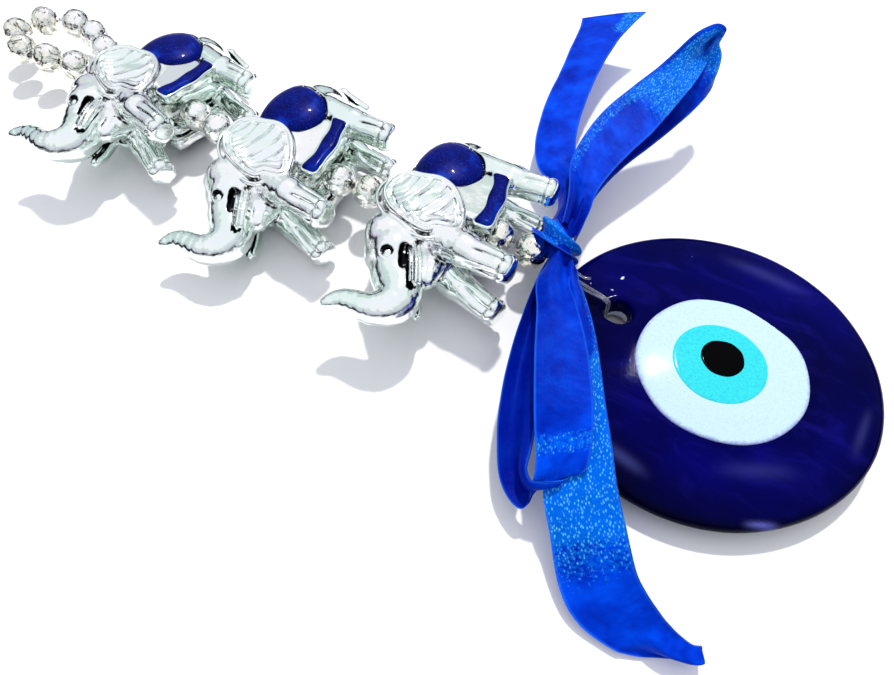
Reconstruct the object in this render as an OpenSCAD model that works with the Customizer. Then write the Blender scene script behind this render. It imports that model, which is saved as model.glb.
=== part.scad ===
// Hanging evil eye ornament, laid out on a flat surface.
// A bead hanging loop, three silvered elephant charms strung on clear line
// with pairs of round beads between them, a satin ribbon bow and a cast
// glass eye disc. +X runs along the string from the hanging loop to the disc,
// +Z is up, and the origin is the centre of the disc's flat back.

/* [Glass disc] */
// Radius of the glass disc at its widest
disc_r = 31.2; // [30.8:0.1:31.4]
// Height of the disc's top at its centre
disc_h = 8; // [7.8:0.1:8.4]
// Radius of the flat foot ring on the back of the disc
foot_r = 13.5; // [11:0.5:14]
// Radius of the hanging hole
hole_r = 2.8; // [2.4:0.1:3]
// Distance of the hanging hole from the disc's centre along X
hole_x = 17.5; // [17.2:0.1:18]
// Sideways offset of the hanging hole
hole_y = 2; // [1.8:0.1:2.2]

/* [Eye] */
// Radius of the white ring
white_r = 14.4; // [13.6:0.1:14.6]
// Radius of the light blue iris
iris_r = 8; // [7:0.1:9]
// Radius of the black pupil
pupil_r = 3.7; // [2.5:0.1:4.5]
// Offset of the eye's centre from the disc's centre along X
eye_x = 2.6; // [2.4:0.1:3]
// Sideways offset of the eye's centre
eye_y = -1.2; // [-1.6:0.1:-0.8]
// Thickness of the inlaid eye layers at the edge
eye_t = 1.3; // [0.8:0.1:1.6]

/* [Beads and line] */
// Radius of the round silver beads
bead_r = 3.45; // [3.2:0.05:3.5]
// Radius of the hole through a bead
bead_bore = 0.6; // [0.55:0.05:0.8]
// Radius of the clear line
line_r = 0.4; // [0.25:0.05:0.45]
// Height of the line above the surface
line_z = 9.3; // [9.2:0.1:9.5]

/* [Elephant charm] */
// Size of the elephant charms relative to 30 mm tall
charm_k = 1; // [0.98:0.01:1]
// Radius of the legs
leg_r = 2.75; // [2.4:0.05:2.8]
// Thickness of the blue enamel saddle
saddle_t = 0.7; // [0.4:0.1:0.8]
// Radius of the line's hole through a charm
charm_bore = 0.7; // [0.6:0.05:1]

/* [Ribbon] */
// Width of the satin ribbon
ribbon_w = 11; // [9:0.5:11.5]
// Thickness of the ribbon's solid
ribbon_t = 0.7; // [0.5:0.1:0.8]

/* [Hidden] */
$fn = 48;

// Each charm: its line axis point, its turn about the line (roll) and the
// line's heading on the surface (yaw)
c1 = [-127.4, 6.0]; yaw1 = -8; roll1 = -6;
c2 = [-88.6, 3.1];  yaw2 = 0.6;  roll2 = 4;
c3 = [-52.5, 5.0];  yaw3 = 4.6;  roll3 = -4.6;
// A point on a charm's line, s millimetres towards the disc
function on(c, yaw, s, z = line_z) =
    [c[0] + s * cos(yaw), c[1] + s * sin(yaw), z];
// Where each stretch of line ends and the next begins
j_loop = on(c1, yaw1, -16.2);
j12 = on(c1, yaw1, 21.75);
j23 = on(c3, yaw3, -22.15);
j3l = on(c3, yaw3, 13.2);
j_disc = [-30.9, 6.7, 7.2];
// The strung pieces are laid out from a point beside the disc's centre
shift = [-1.4, -0.6, 0];
bead_gap = 2 * bead_r + 0.15;

// Hanging loop: centres of its beads, going round
loop_z = 8;
loop_c = [[-155.0, 5.4], [-162.9, 4.2], [-170.9, 3.7], [-177.3, 8.0],
    [-175.0, 14.8], [-167.4, 17.9], [-160.2, 16.8], [-153.3, 13.5]];

function unit(v) = v / norm(v);
function flat3(p, z) = [p[0], p[1], z];

// ---- helpers ---------------------------------------------------------------
// Straight piece of line between two points
module rod(a, b, r) {
    d = b - a;
    translate(a)
        rotate([0, acos(d[2] / norm(d)), atan2(d[1], d[0])])
            cylinder(r = r, h = norm(d), $fn = 24);
}

// Tube swept along points with n sides
module tube(p, r, n = 8) {
    m = len(p);
    t = [for (i = [0:m - 1]) unit(p[min(i + 1, m - 1)] - p[max(i - 1, 0)])];
    pts = [for (i = [0:m - 1])
        let (s = unit(cross(abs(t[i][2]) > 0.9 ? [0.2, 1, 0] : [0, 0, 1], t[i])),
             u = cross(t[i], s))
        for (k = [0:n - 1])
            p[i] + r * (cos(360 * k / n) * s + sin(360 * k / n) * u)];
    side = [for (i = [0:m - 2]) for (k = [0:n - 1])
        [i * n + k, i * n + (k + 1) % n,
         (i + 1) * n + (k + 1) % n, (i + 1) * n + k]];
    polyhedron(points = pts, convexity = 6,
        faces = concat([[for (k = [0:n - 1]) n - 1 - k]], side,
                       [[for (k = [0:n - 1]) (m - 1) * n + k]]));
}

// Smooth curve through points: k steps on each span
function spline(p, k = 4) = [for (i = [0:len(p) - 2]) for (j = [0:k - 1])
        let (a = p[max(i - 1, 0)], b = p[i], c = p[i + 1],
             d = p[min(i + 2, len(p) - 1)], t = j / k)
        0.5 * (2 * b + (c - a) * t + (2 * a - 5 * b + 4 * c - d) * t * t
               + (3 * b - a - 3 * c + d) * t * t * t),
    p[len(p) - 1]];

// Ribbon strip along stations [centre, half width vector]
module strip(st, th) {
    c = spline([for (s = st) s[0]]);
    w = spline([for (s = st) s[1]]);
    m = len(c);
    pts = [for (i = [0:m - 1])
        let (t = unit(c[min(i + 1, m - 1)] - c[max(i - 1, 0)]),
             n = unit(cross(t, w[i])) * th / 2)
        each [c[i] - w[i] - n, c[i] + w[i] - n, c[i] + w[i] + n, c[i] - w[i] + n]];
    side = [for (i = [0:m - 2]) for (k = [0:3]) each
        [[i * 4 + k, (i + 1) * 4 + (k + 1) % 4, i * 4 + (k + 1) % 4],
         [i * 4 + k, (i + 1) * 4 + k, (i + 1) * 4 + (k + 1) % 4]]];
    polyhedron(points = pts, convexity = 8,
        faces = concat([[0, 1, 2], [0, 2, 3]], side,
            [[m * 4 - 4, m * 4 - 2, m * 4 - 3], [m * 4 - 4, m * 4 - 1, m * 4 - 2]]));
}

// Round bead with its hole along direction d, centred at p
module bead(p, d) {
    translate(p)
        rotate([0, acos(d[2] / norm(d)), atan2(d[1], d[0])])
            difference() {
                sphere(r = bead_r);
                cylinder(r = bead_bore, h = 3 * bead_r, center = true);
            }
}

// Place something made around a charm's line axis into the layout.
// A charm is made facing +X, its left side +Y, standing along +Z.
module at_charm(c, yaw, roll)
    translate([c[0], c[1], line_z]) rotate([roll, 0, yaw])
        rotate([90, 0, -90]) scale(charm_k) children();

// ---- glass disc --------------------------------------------------------------
function dome(r) = disc_h - 0.0032 * r * r;
module glass_disc() color([0.02, 0.03, 0.35])
    difference() {
        rotate_extrude($fn = 96)
            polygon(concat(
                [[0, 0], [foot_r, 0], [foot_r + 3.5, 0.35], [foot_r + 7, 0.95],
                 [disc_r - 5, 1.35], [disc_r - 2.2, 1.9]],
                [for (a = [-50:20:70])
                    [disc_r - 1.7 + 1.7 * cos(a), 3.5 + 1.9 * sin(a)]],
                [for (i = [0:6]) let (r = disc_r - 3 - i * (disc_r - 3) / 6)
                    [r, i == 6 ? dome(0) : dome(r)]]));
        translate([-hole_x, hole_y, -1]) cylinder(r = hole_r, h = 12);
        translate([eye_x, eye_y, eye_floor])
            cylinder(r = white_r, h = 6);
    }
// Eye layers: rings set into the pocket, with one common gentle crown
eye_floor = dome(white_r + 2.9) - eye_t;
function crown(r) = disc_h + 0.35 - 0.0042 * r * r;
module ring(a, b) translate([eye_x, eye_y, 0])
    rotate_extrude($fn = 96)
        polygon(concat([[a, eye_floor], [b, eye_floor]],
            [for (i = [0:4]) let (r = b + (a - b) * i / 4) [r, crown(r)]]));
module eye_white() color("white") ring(iris_r, white_r);
module eye_iris() color([0.1, 0.85, 0.95]) ring(pupil_r, iris_r);
module eye_pupil() color([0.02, 0.02, 0.02]) ring(0, pupil_r);

// ---- clear line ----------------------------------------------------------------
// Loop of line through the disc's hole and round its rim
hole = [-hole_x - shift[0], hole_y - shift[1]];
rimdir = unit([j_disc[0], j_disc[1]] - hole);
function along(s, z) = [hole[0] + s * rimdir[0], hole[1] + s * rimdir[1], z];
module disc_line() color([0.9, 0.95, 1, 0.5])
    tube([along(13.8, 7.1), along(12.8, 7.2), along(10, 6.9), along(7, 7.1),
          along(4.5, 7.4), along(2.9, 7.4), along(2.2, 6.7), along(2.1, 4),
          along(2.15, 1.7), along(2.3, 1), along(2.75, 0.5), along(3.8, 0.42),
          along(6, 0.45), along(9, 0.5), along(12, 0.8), along(13.7, 1.6),
          along(14.5, 2.8), along(14.6, 4.4), along(14.3, 6)], line_r * 0.85);
module lower_line() color([0.9, 0.95, 1, 0.5])
    tube([j3l + unit(dl) * 0.3, j3l + unit(dl) * 3.7, j3l + unit(dl) * 7.2,
          [-31.2, 7.1, 8]], line_r, 10);
// One straight run of line through each charm and its spacer beads
module line_3() color([0.9, 0.95, 1, 0.5]) rod(j23 + 0.2 * d3, j3l, line_r);
module line_2() color([0.9, 0.95, 1, 0.5]) rod(j12 + 0.2 * d2, j23, line_r);
module line_1() color([0.9, 0.95, 1, 0.5]) rod(j_loop, j12, line_r);
crimp_a = [-144.0, 8.4, line_z];
crimp_b = [-146.6, 8.7, 8.8];
module top_crimp() color("silver") union() {
    rod(crimp_a, crimp_b, 0.95);
    rod(crimp_a, crimp_a - unit(crimp_a - j_loop) * 0.2 - [-0.2, 0, 0], 0.7);
}
lc = [for (p = loop_c) flat3(p, loop_z)];
module loop_line() color([0.9, 0.95, 1, 0.5])
    tube(concat([[-147.4, 8.5, 8.7], [-149.6, 7.5, 8.4]],
        [for (i = [0:7]) let (a = lc[max(i - 1, 0)], b = lc[i], c = lc[min(i + 1, 7)],
            d = i == 0 ? [-8, -0.9, 0] : i == 7 ? [5, -4.5, 0] : c - a, t = unit(d))
            each [b - 3.3 * t, b + 3.3 * t]],
        [[-149.3, 10.6, 8.4], [-147.4, 9.3, 8.7]]), line_r);

// ---- beads ---------------------------------------------------------------------
module loop_bead(i) color("silver")
    bead(lc[i], i == 0 ? [-8, -0.9, 0] : i == 7 ? [5, -4.5, 0] : lc[i + 1] - lc[i - 1]);
d3 = [cos(yaw3), sin(yaw3), 0];
d2 = [cos(yaw2), sin(yaw2), 0];
d1 = [cos(yaw1), sin(yaw1), 0];
module spacer_bead_1() color("silver") bead(on(c1, yaw1, 10.55), d1);
module spacer_bead_2() color("silver") bead(on(c1, yaw1, 10.55 + bead_gap), d1);
module spacer_bead_3() color("silver") bead(on(c2, yaw2, 14.05 - bead_r - 0.15), d2);
module spacer_bead_4() color("silver") bead(on(c3, yaw3, -22.15 + bead_r + 0.15), d3);
module lower_bead_1() color("silver") bead(on(c3, yaw3, 9.4), d3);
dl = [-34.6, 6.5, 8.2] - j3l;
module lower_bead_2() color("silver") bead(j3l + unit(dl) * 3.75, dl);

// ---- elephant charm ----------------------------------------------------------
module ball(p, r) translate(p) sphere(r = r, $fn = 20);
module limb(a, ra, b, rb) hull() { ball(a, ra); ball(b, rb); }
module torso(g = 0) hull() {
    ball([3.5, 0, 3.6], 7.6 + g);
    for (s = [-1, 1]) {
        ball([-10, s * 2.2, 5.8], 5.4 + g);
        ball([-4, s * 2.8, 7], 5 + g);
    }
    ball([-14, 0, 3.2], 6.8 + g);
}
module panel(s, g = 0) hull()
    for (x = [-7.5, 3.5], z = [-7, 2.5])
        translate([x, s * 5.6, z]) sphere(r = 1.5 + g, $fn = 16);
module leg(a, b, s, g = 0) {
    hull() { ball([a[0], s * a[1], a[2]], 3.6 + g);
        translate([b[0], s * b[1], b[2] + 1]) cylinder(r = leg_r + g, h = 1, $fn = 20); }
    translate([b[0], s * b[1], b[2]]) cylinder(r = leg_r, h = 1.2, $fn = 20);
}
// Large leaf-shaped ear, broad at the top and drawn down beside the leg
module ear(s, g = 0) translate([0, s > 0 ? 7.9 + g : -6.4 + g, 0]) rotate([90, 0, 0])
    linear_extrude(1.5 + 2 * g) offset(r = 1 + g, $fn = 16)
        polygon([[0, 9], [2, 11], [4.5, 11.5], [7.5, 9.5], [9.5, 6.5], [10.8, 2.5], [10.9, 0],
                 [9, -3.8], [7.8, -4.2], [4.5, -2.8], [1, -0.5], [-1, 3.2]]);
// The four legs in mid stride; the lower front one reaches furthest forward
module legs(g = 0) {
    leg([-12.6, 3.6, -0.5], [-11.2, 4.5, -17], 1, g);
    leg([-12.2, 3.6, -0.5], [-10.4, 4.5, -17], -1, g);
    leg([8.6, 3.6, -0.5], [12.3, 5.2, -16.8], 1, g);
    leg([8.8, 3.6, -0.5], [14.6, 5, -16.2], -1, g);
}
module elephant_body() difference() {
    union() {
        torso();
        legs();
        for (s = [-1, 1]) {
            panel(s);
            ear(s);
            // tusk
            limb([15, s * 4.4, 1.2], 1.3, [21.2, s * 4.4, -2.4], 0.7);
        }
        limb([7, 0, 5], 6.6, [13.6, 0, 6], 6.7);
        limb([13.2, 0, 4], 5.4, [18.3, 0, 3.2], 4);
        limb([18.3, 0, 3.2], 4.4, [22.4, 0, 0.4], 3.8);
        limb([22.4, 0, 0.4], 3.8, [25.6, 0, 1], 3.2);
        limb([25.6, 0, 1], 3.2, [27.2, 0, 3.6], 2.6);
        limb([27.2, 0, 3.6], 2.6, [27.4, 0, 7.2], 2.1);
        limb([27.4, 0, 7.2], 2.1, [27.9, 0, 9.6], 1.7);
        limb([27.9, 0, 9.6], 1.7, [29.8, 0, 11.6], 0.8);
        // jaw and tail
        limb([11.5, 0, -0.5], 3.4, [15.5, 0, -1.6], 2.2);
        limb([-21, 0, 5], 1.4, [-22.6, 0, 3.4], 1);
    }
    translate([0, 0, -30]) cylinder(r = charm_bore, h = 60, $fn = 24);
    // seat of the beads under the belly
    translate([0, 0, -16.2]) cylinder(r = 3.75, h = 10.2, $fn = 28);
}
module saddle_shape() difference() {
    intersection() {
        torso(saddle_t);
        translate([-8, 0, 4.6]) rotate([0, 20, 0]) rotate([90, 0, 0])
            scale([6.4, 7.7, 1]) cylinder(r = 1, h = 30, center = true, $fn = 40);
    }
    torso(0.05);
    legs(0.05);
    for (s = [-1, 1]) {
        panel(s, 0.05);
        ear(s, 0.05);
    }
}
module hem_shape() difference() {
    intersection() {
        union() for (s = [-1, 1]) panel(s, 0.45);
        union() for (s = [-1, 1])
            translate([-8.9, s * 8 - 2, -9.4]) cube([13.2, 4, 3.2]);
    }
    for (s = [-1, 1]) {
        panel(s, 0.05);
        ear(s, 0.05);
    }
    legs(0.05);
    torso(0.05);
}
module elephant_3_body() color([0.85, 0.86, 0.86]) at_charm(c3, yaw3, roll3) elephant_body();
module elephant_2_body() color([0.85, 0.86, 0.86]) at_charm(c2, yaw2, roll2) elephant_body();
module elephant_1_body() color([0.85, 0.86, 0.86]) at_charm(c1, yaw1, roll1) elephant_body();
module elephant_3_saddle() color([0.03, 0.05, 0.5]) at_charm(c3, yaw3, roll3) saddle_shape();
module elephant_2_saddle() color([0.03, 0.05, 0.5]) at_charm(c2, yaw2, roll2) saddle_shape();
module elephant_1_saddle() color([0.03, 0.05, 0.5]) at_charm(c1, yaw1, roll1) saddle_shape();
module elephant_3_hem() color([0.03, 0.05, 0.6]) at_charm(c3, yaw3, roll3) hem_shape();
module elephant_2_hem() color([0.03, 0.05, 0.6]) at_charm(c2, yaw2, roll2) hem_shape();
module elephant_1_hem() color([0.03, 0.05, 0.6]) at_charm(c1, yaw1, roll1) hem_shape();

// ---- ribbon bow -----------------------------------------------------------------
k = ribbon_w / 11;
module ribbon_knot() color([0.05, 0.25, 0.95]) hull() {
    ball([-30.9, 7.6, 8.4], 1.3);
    ball([-31.6, 11.6, 10.2], 2.6);
    ball([-29.2, 8.8, 10.4], 2.5);
}
module ribbon_upper_tail() color([0.05, 0.25, 0.95]) strip([
    [[-31.2, 13, 8.8], [2, -0.4, 0.6] * k], [[-30.9, 18.6, 8.6], [2.3, 0.5, 0.6] * k],
    [[-32.7, 24.6, 8.3], [2.6, 1.3, 0.6] * k], [[-37.9, 28.9, 7.9], [3, 2, 0.6] * k],
    [[-42.2, 32, 7.8], [3.7, 2, 0.8] * k],
    [[-45.6, 39, 7.8], [4, 1.6, 0.8] * k], [[-48.4, 50, 8], [4.4, 0.8, 1] * k],
    [[-50.2, 63, 8.4], [4.6, 0.2, 1.2] * k], [[-51.2, 75, 9], [5.4, 0.6, 1.5] * k],
    [[-51, 86, 9.8], [6.6, 4.6, 1.8] * k]],
    ribbon_t);
module ribbon_upper_loop() color([0.05, 0.25, 0.95]) strip([
    [[-31, 12.6, 11.4], [1.8, -0.6, -0.4] * k], [[-32.4, 19.6, 11.2], [2.1, -1.6, -0.4] * k],
    [[-34.4, 27, 11.4], [3, -3, -0.6] * k], [[-34, 33.4, 12], [3.6, -3.6, -0.8] * k],
    [[-32.8, 40.4, 13.4], [3.8, -4, -1.2] * k], [[-30.6, 46.6, 14.6], [3.7, -3.9, -1] * k],
    [[-28.2, 53.6, 17], [3, -3.6, -1.4] * k], [[-26.2, 60, 19.4], [1.8, -3, -2.2] * k],
    [[-24.6, 66.6, 20.4], [0.8, -1.8, -3] * k], [[-23.2, 70, 19.8], [0.4, -0.6, -3.4] * k],
    [[-21.8, 69.4, 18.2], [0.8, -0.4, -3.4] * k], [[-22.4, 65, 16], [1.6, -1.6, -2.8] * k],
    [[-25, 58, 13.6], [2.4, -2.6, -1.8] * k], [[-28, 50, 11.2], [2.8, -2.8, -0.8] * k],
    [[-31.4, 42, 9.4], [3, -3, -0.6] * k], [[-33.4, 34, 8.8], [2.6, -2.6, -0.4] * k],
    [[-33.8, 26, 8.8], [2, -2, -0.2] * k], [[-31.4, 18, 9.6], [1.8, -1, -0.2] * k],
    [[-30.4, 13, 10.2], [1.6, -0.4, 0] * k]],
    ribbon_t);
module ribbon_lower_loop() color([0.05, 0.25, 0.95]) strip([
    [[-29.6, 5, 12], [1.6, 0.4, 0] * k], [[-27.8, -2, 13], [2.4, 1.2, 0.2] * k],
    [[-25, -7.6, 13.6], [3.4, 1.2, 0.4] * k], [[-20.2, -16.4, 14], [4.2, 1.6, 0.6] * k],
    [[-15.8, -25, 13.4], [3.8, 2.6, 1] * k], [[-12.8, -31.6, 12], [2.8, 3, 1.6] * k],
    [[-12.6, -34.8, 10.2], [2, 2.6, 1.8] * k], [[-15.4, -37.6, 7.4], [1.2, 1.6, 2] * k],
    [[-18.6, -35.8, 6.8], [1.8, 1, 2] * k], [[-21.4, -30, 7.4], [3, 0.8, 1.4] * k],
    [[-23.8, -24, 8.2], [3.2, 0.6, 0.8] * k], [[-26.6, -16, 9], [2.4, 0.8, 0.6] * k],
    [[-29.2, -7, 9.4], [1.5, 0.4, 0.4] * k], [[-30.6, 1, 9.6], [1.2, 0.2, 0.2] * k],
    [[-30.8, 6, 9.4], [1.2, 0.2, 0] * k]],
    ribbon_t);
module ribbon_lower_tail() color([0.05, 0.25, 0.95]) strip([
    [[-28, 4.6, 10.4], [1.4, 0.4, 0] * k], [[-24, -2.4, 10.6], [2.4, 1.2, 0] * k],
    [[-20, -10.4, 10.8], [3.4, 1.8, 0.2] * k], [[-15.4, -20.4, 10.8], [4, 2.4, 0.6] * k],
    [[-11.4, -28.6, 10], [4.2, 3, 1.4] * k], [[-8.6, -34.4, 8.6], [4.4, 3.2, 2.2] * k],
    [[-5.2, -38.8, 6.8], [4.6, 3, 2.4] * k], [[-1, -44, 4.8], [4.6, 2.8, 2.2] * k],
    [[2.4, -46.4, 3.8], [4.2, 3, 2] * k], [[6.4, -47.4, 3], [3.2, 2.9, 1.6] * k],
    [[10.6, -47.8, 2.4], [2.2, 2.1, 1.2] * k], [[14.4, -47, 1.8], [1.3, 1.3, 0.7] * k],
    [[16.6, -45.8, 1.5], [0.6, 0.8, 0.4] * k]],
    ribbon_t);

module lay() translate(shift) children();
glass_disc();
eye_white();
eye_iris();
eye_pupil();
lay() disc_line();
lay() lower_line();
lay() ribbon_knot();
lay() ribbon_upper_tail();
lay() ribbon_upper_loop();
lay() ribbon_lower_loop();
lay() ribbon_lower_tail();
lay() lower_bead_1();
lay() lower_bead_2();
lay() line_3();
lay() elephant_3_body();
lay() elephant_3_saddle();
lay() elephant_3_hem();
lay() spacer_bead_4();
lay() spacer_bead_3();
lay() line_2();
lay() elephant_2_body();
lay() elephant_2_saddle();
lay() elephant_2_hem();
lay() spacer_bead_2();
lay() spacer_bead_1();
lay() line_1();
lay() elephant_1_body();
lay() elephant_1_saddle();
lay() elephant_1_hem();
lay() top_crimp();
lay() loop_line();
lay() loop_bead(0);  // loop_bead_1
lay() loop_bead(1);  // loop_bead_2
lay() loop_bead(2);  // loop_bead_3
lay() loop_bead(3);  // loop_bead_4
lay() loop_bead(4);  // loop_bead_5
lay() loop_bead(5);  // loop_bead_6
lay() loop_bead(6);  // loop_bead_7
lay() loop_bead(7);  // loop_bead_8
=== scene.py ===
import bpy, math
import numpy as np
from mathutils import Matrix, Vector


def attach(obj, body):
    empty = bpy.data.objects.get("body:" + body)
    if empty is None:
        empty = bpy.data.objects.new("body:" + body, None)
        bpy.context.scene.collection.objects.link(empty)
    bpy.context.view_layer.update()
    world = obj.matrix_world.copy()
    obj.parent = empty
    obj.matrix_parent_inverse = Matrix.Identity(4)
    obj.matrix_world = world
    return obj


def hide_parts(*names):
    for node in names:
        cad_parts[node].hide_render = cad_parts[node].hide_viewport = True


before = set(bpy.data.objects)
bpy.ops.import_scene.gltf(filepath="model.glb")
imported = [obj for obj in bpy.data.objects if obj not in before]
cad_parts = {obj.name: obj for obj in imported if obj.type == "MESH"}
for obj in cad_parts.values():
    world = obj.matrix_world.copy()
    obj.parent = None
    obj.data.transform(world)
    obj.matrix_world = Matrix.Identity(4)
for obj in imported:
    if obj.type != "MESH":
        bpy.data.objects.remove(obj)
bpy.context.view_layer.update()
MM = 0.001
SHIFT = np.array([-1.4, -0.6, 0.0])          # the strung pieces' own layout, as in the CAD
LINE_Z = 9.3
rng = np.random.default_rng(7)

# ---------------------------------------------------------------- meshes
def make(name, verts, faces, mat, smooth=True, uv=None, attrs=None, mm=True, mesh=None):
    if mesh is None:
        mesh = bpy.data.meshes.new(name)
        v = np.asarray(verts, float) * (MM if mm else 1.0)
        mesh.from_pydata(v.tolist(), [], [tuple(int(i) for i in f) for f in faces])
        mesh.validate()
        if smooth:
            mesh.polygons.foreach_set("use_smooth", [True] * len(mesh.polygons))
        if uv is not None:
            layer = mesh.uv_layers.new(name="UVMap")
            idx = np.zeros(len(mesh.loops), np.int32)
            mesh.loops.foreach_get("vertex_index", idx)
            layer.data.foreach_set("uv", np.asarray(uv, np.float32)[idx].ravel())
        for key, val in (attrs or {}).items():
            a = mesh.attributes.new(key, "FLOAT", "POINT")
            a.data.foreach_set("value", np.asarray(val, np.float32))
        mesh.materials.append(mat)
        mesh.update()
    o = bpy.data.objects.new(name, mesh)
    bpy.context.scene.collection.objects.link(o)
    return o


def unit(v):
    v = np.asarray(v, float)
    return v / np.linalg.norm(v)


def spline(p, k):
    """Smooth curve through the points p, k steps on each span."""
    p = np.asarray(p, float)
    out = []
    n = len(p)
    for i in range(n - 1):
        a, b, c, d = p[max(i - 1, 0)], p[i], p[i + 1], p[min(i + 2, n - 1)]
        for j in range(k):
            t = j / k
            out.append(0.5 * (2 * b + (c - a) * t + (2 * a - 5 * b + 4 * c - d) * t * t
                              + (3 * b - a - 3 * c + d) * t ** 3))
    out.append(p[-1])
    return np.array(out)


def tube(name, pts, r, mat, n=14, smooth_k=4, rad=None):
    c = spline(pts, smooth_k) if smooth_k > 1 else np.asarray(pts, float)
    m = len(c)
    verts, faces = [], []
    prev = None
    rr = np.full(m, r, float) if rad is None else np.interp(np.linspace(0, 1, m), np.linspace(0, 1, len(rad)), rad)
    for i in range(m):
        t = unit(c[min(i + 1, m - 1)] - c[max(i - 1, 0)])
        if prev is None:
            s = np.cross([0.2, 1, 0] if abs(t[2]) > 0.9 else [0, 0, 1], t)
        else:
            s = prev - t * (prev @ t)
        s = unit(s)
        prev = s
        u = np.cross(t, s)
        for k in range(n):
            a = 2 * math.pi * k / n
            verts.append(c[i] + rr[i] * (math.cos(a) * s + math.sin(a) * u))
    for i in range(m - 1):
        for k in range(n):
            k2 = (k + 1) % n
            faces.append((i * n + k, i * n + k2, (i + 1) * n + k2, (i + 1) * n + k))
    faces.append(tuple(range(n - 1, -1, -1)))
    faces.append(tuple((m - 1) * n + k for k in range(n)))
    return make(name, verts, faces, mat)


# ---------------------------------------------------------------- node materials
class Mat:
    def __init__(self, name):
        self.m = bpy.data.materials.new(name)
        self.m.use_nodes = True
        self.t = self.m.node_tree
        self.t.nodes.clear()
        self.out = self.n("ShaderNodeOutputMaterial")
        self.b = self.n("ShaderNodeBsdfPrincipled")
        self.l(self.b, "BSDF", self.out, "Surface")
        self.coord = None

    def n(self, kind, **kw):
        node = self.t.nodes.new(kind)
        for k, v in kw.items():
            setattr(node, k, v)
        return node

    def l(self, a, ao, b, bi):
        self.t.links.new(a.outputs[ao], b.inputs[bi])

    def set(self, **kw):
        for k, v in kw.items():
            self.b.inputs[k.replace("_", " ")].default_value = v

    def obj(self, scale=(1, 1, 1), kind="Object", rot=(0, 0, 0)):
        if self.coord is None:
            self.coord = self.n("ShaderNodeTexCoord")
        mp = self.n("ShaderNodeMapping")
        mp.inputs["Scale"].default_value = scale
        mp.inputs["Rotation"].default_value = rot
        self.l(self.coord, kind, mp, "Vector")
        return mp

    def noise(self, scale, detail=3.0, rough=0.5, vec=None, dist=0.0):
        x = self.n("ShaderNodeTexNoise")
        x.inputs["Scale"].default_value = scale
        x.inputs["Detail"].default_value = detail
        x.inputs["Roughness"].default_value = rough
        x.inputs["Distortion"].default_value = dist
        self.l(vec if vec is not None else self.obj(), "Vector", x, "Vector")
        return x

    def ramp(self, src, out, stops):
        r = self.n("ShaderNodeValToRGB")
        e = r.color_ramp.elements
        while len(e) < len(stops):
            e.new(0.5)
        for el, (p, c) in zip(e, stops):
            el.position = p
            el.color = c if len(c) == 4 else (*c, 1)
        self.l(src, out, r, "Fac")
        return r

    def mix(self, fac, a, b, blend="MIX"):
        """fac, a, b: (node, output) or a constant."""
        x = self.n("ShaderNodeMix", data_type="RGBA", blend_type=blend)
        for sock, v in ((0, fac), (6, a), (7, b)):
            if isinstance(v, tuple) and len(v) == 2 and not isinstance(v[0], (int, float)):
                self.t.links.new(v[0].outputs[v[1]], x.inputs[sock])
            elif sock == 0:
                x.inputs[sock].default_value = v
            else:
                x.inputs[sock].default_value = v if len(v) == 4 else (*v, 1)
        return x

    def math(self, op, a, b=None, c=None, clamp=False):
        x = self.n("ShaderNodeMath", operation=op, use_clamp=clamp)
        for i, v in enumerate((a, b, c)):
            if v is None:
                continue
            if isinstance(v, tuple):
                self.t.links.new(v[0].outputs[v[1]], x.inputs[i])
            else:
                x.inputs[i].default_value = v
        return x

    def bump(self, src, out, strength, dist, prev=None):
        b = self.n("ShaderNodeBump")
        b.inputs["Strength"].default_value = strength
        b.inputs["Distance"].default_value = dist
        self.l(src, out, b, "Height")
        if prev is not None:
            self.l(prev, "Normal", b, "Normal")
        self.l(b, "Normal", self.b, "Normal")
        return b

    def attr(self, name):
        return self.n("ShaderNodeAttribute", attribute_name=name)


def silver(name, tint_a, tint_b, rough, dent, dent_scale, fine, ink_at, crease_shade=True):
    """Mirror coating over moulded plastic; painted shade darkens its creases when crease_shade is on."""
    m = Mat(name)
    m.set(Metallic=1.0, Roughness=rough)
    big = m.noise(70, 2, 0.5)
    col = m.ramp(big, "Fac", [(0.40, tint_a), (0.66, tint_b)])
    # fine scribbles where the coating is crazed
    smut = m.noise(360, 6, 0.68, dist=1.4)
    dark = m.ramp(smut, "Fac", [(ink_at, (0.012, 0.012, 0.014)), (ink_at + 0.045, (1, 1, 1))])
    c = m.mix(0.85, (col, "Color"), (dark, "Color"), "MULTIPLY")
    out = (c, 2)
    if crease_shade:
        # painted shade: base colour goes near black where the crease_shade attribute is high
        a = m.attr("crease_shade")
        n = m.noise(900, 4, 0.7)
        j = m.math("MULTIPLY_ADD", (n, "Fac"), 0.7, -0.35)
        e = m.math("ADD", (a, "Fac"), (j, "Value"))
        r = m.ramp(e, "Value", [(0.66, (0, 0, 0)), (0.86, (1, 1, 1))])
        c2 = m.mix((r, "Color"), out, (0.006, 0.006, 0.009))
        out = (c2, 2)
    m.l(out[0], out[1], m.b, "Base Color")
    rr = m.n("ShaderNodeMapRange")
    rn = m.noise(320, 4, 0.6)
    m.l(rn, "Fac", rr, "Value")
    for k, v in (("From Min", 0.35), ("From Max", 0.7), ("To Min", rough * 0.7), ("To Max", rough * 2.2)):
        rr.inputs[k].default_value = v
    m.l(rr, "Result", m.b, "Roughness")
    w = m.noise(dent_scale, 2, 0.5)
    b1 = m.bump(w, "Fac", dent, 0.0006)
    scratch = m.noise(420, 3, 0.6, vec=m.obj((1, 7, 2), rot=(0.3, 0.5, 0.8)))
    b2 = m.bump(scratch, "Fac", fine, 0.00010, b1)
    grain = m.noise(2600, 2, 0.5)
    m.bump(grain, "Fac", fine * 0.8, 0.00002, b2)
    return m.m


# painted reflection: the mint patches (tint_b) on the charms stand in for a green-tinted surround seen in the silver
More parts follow.
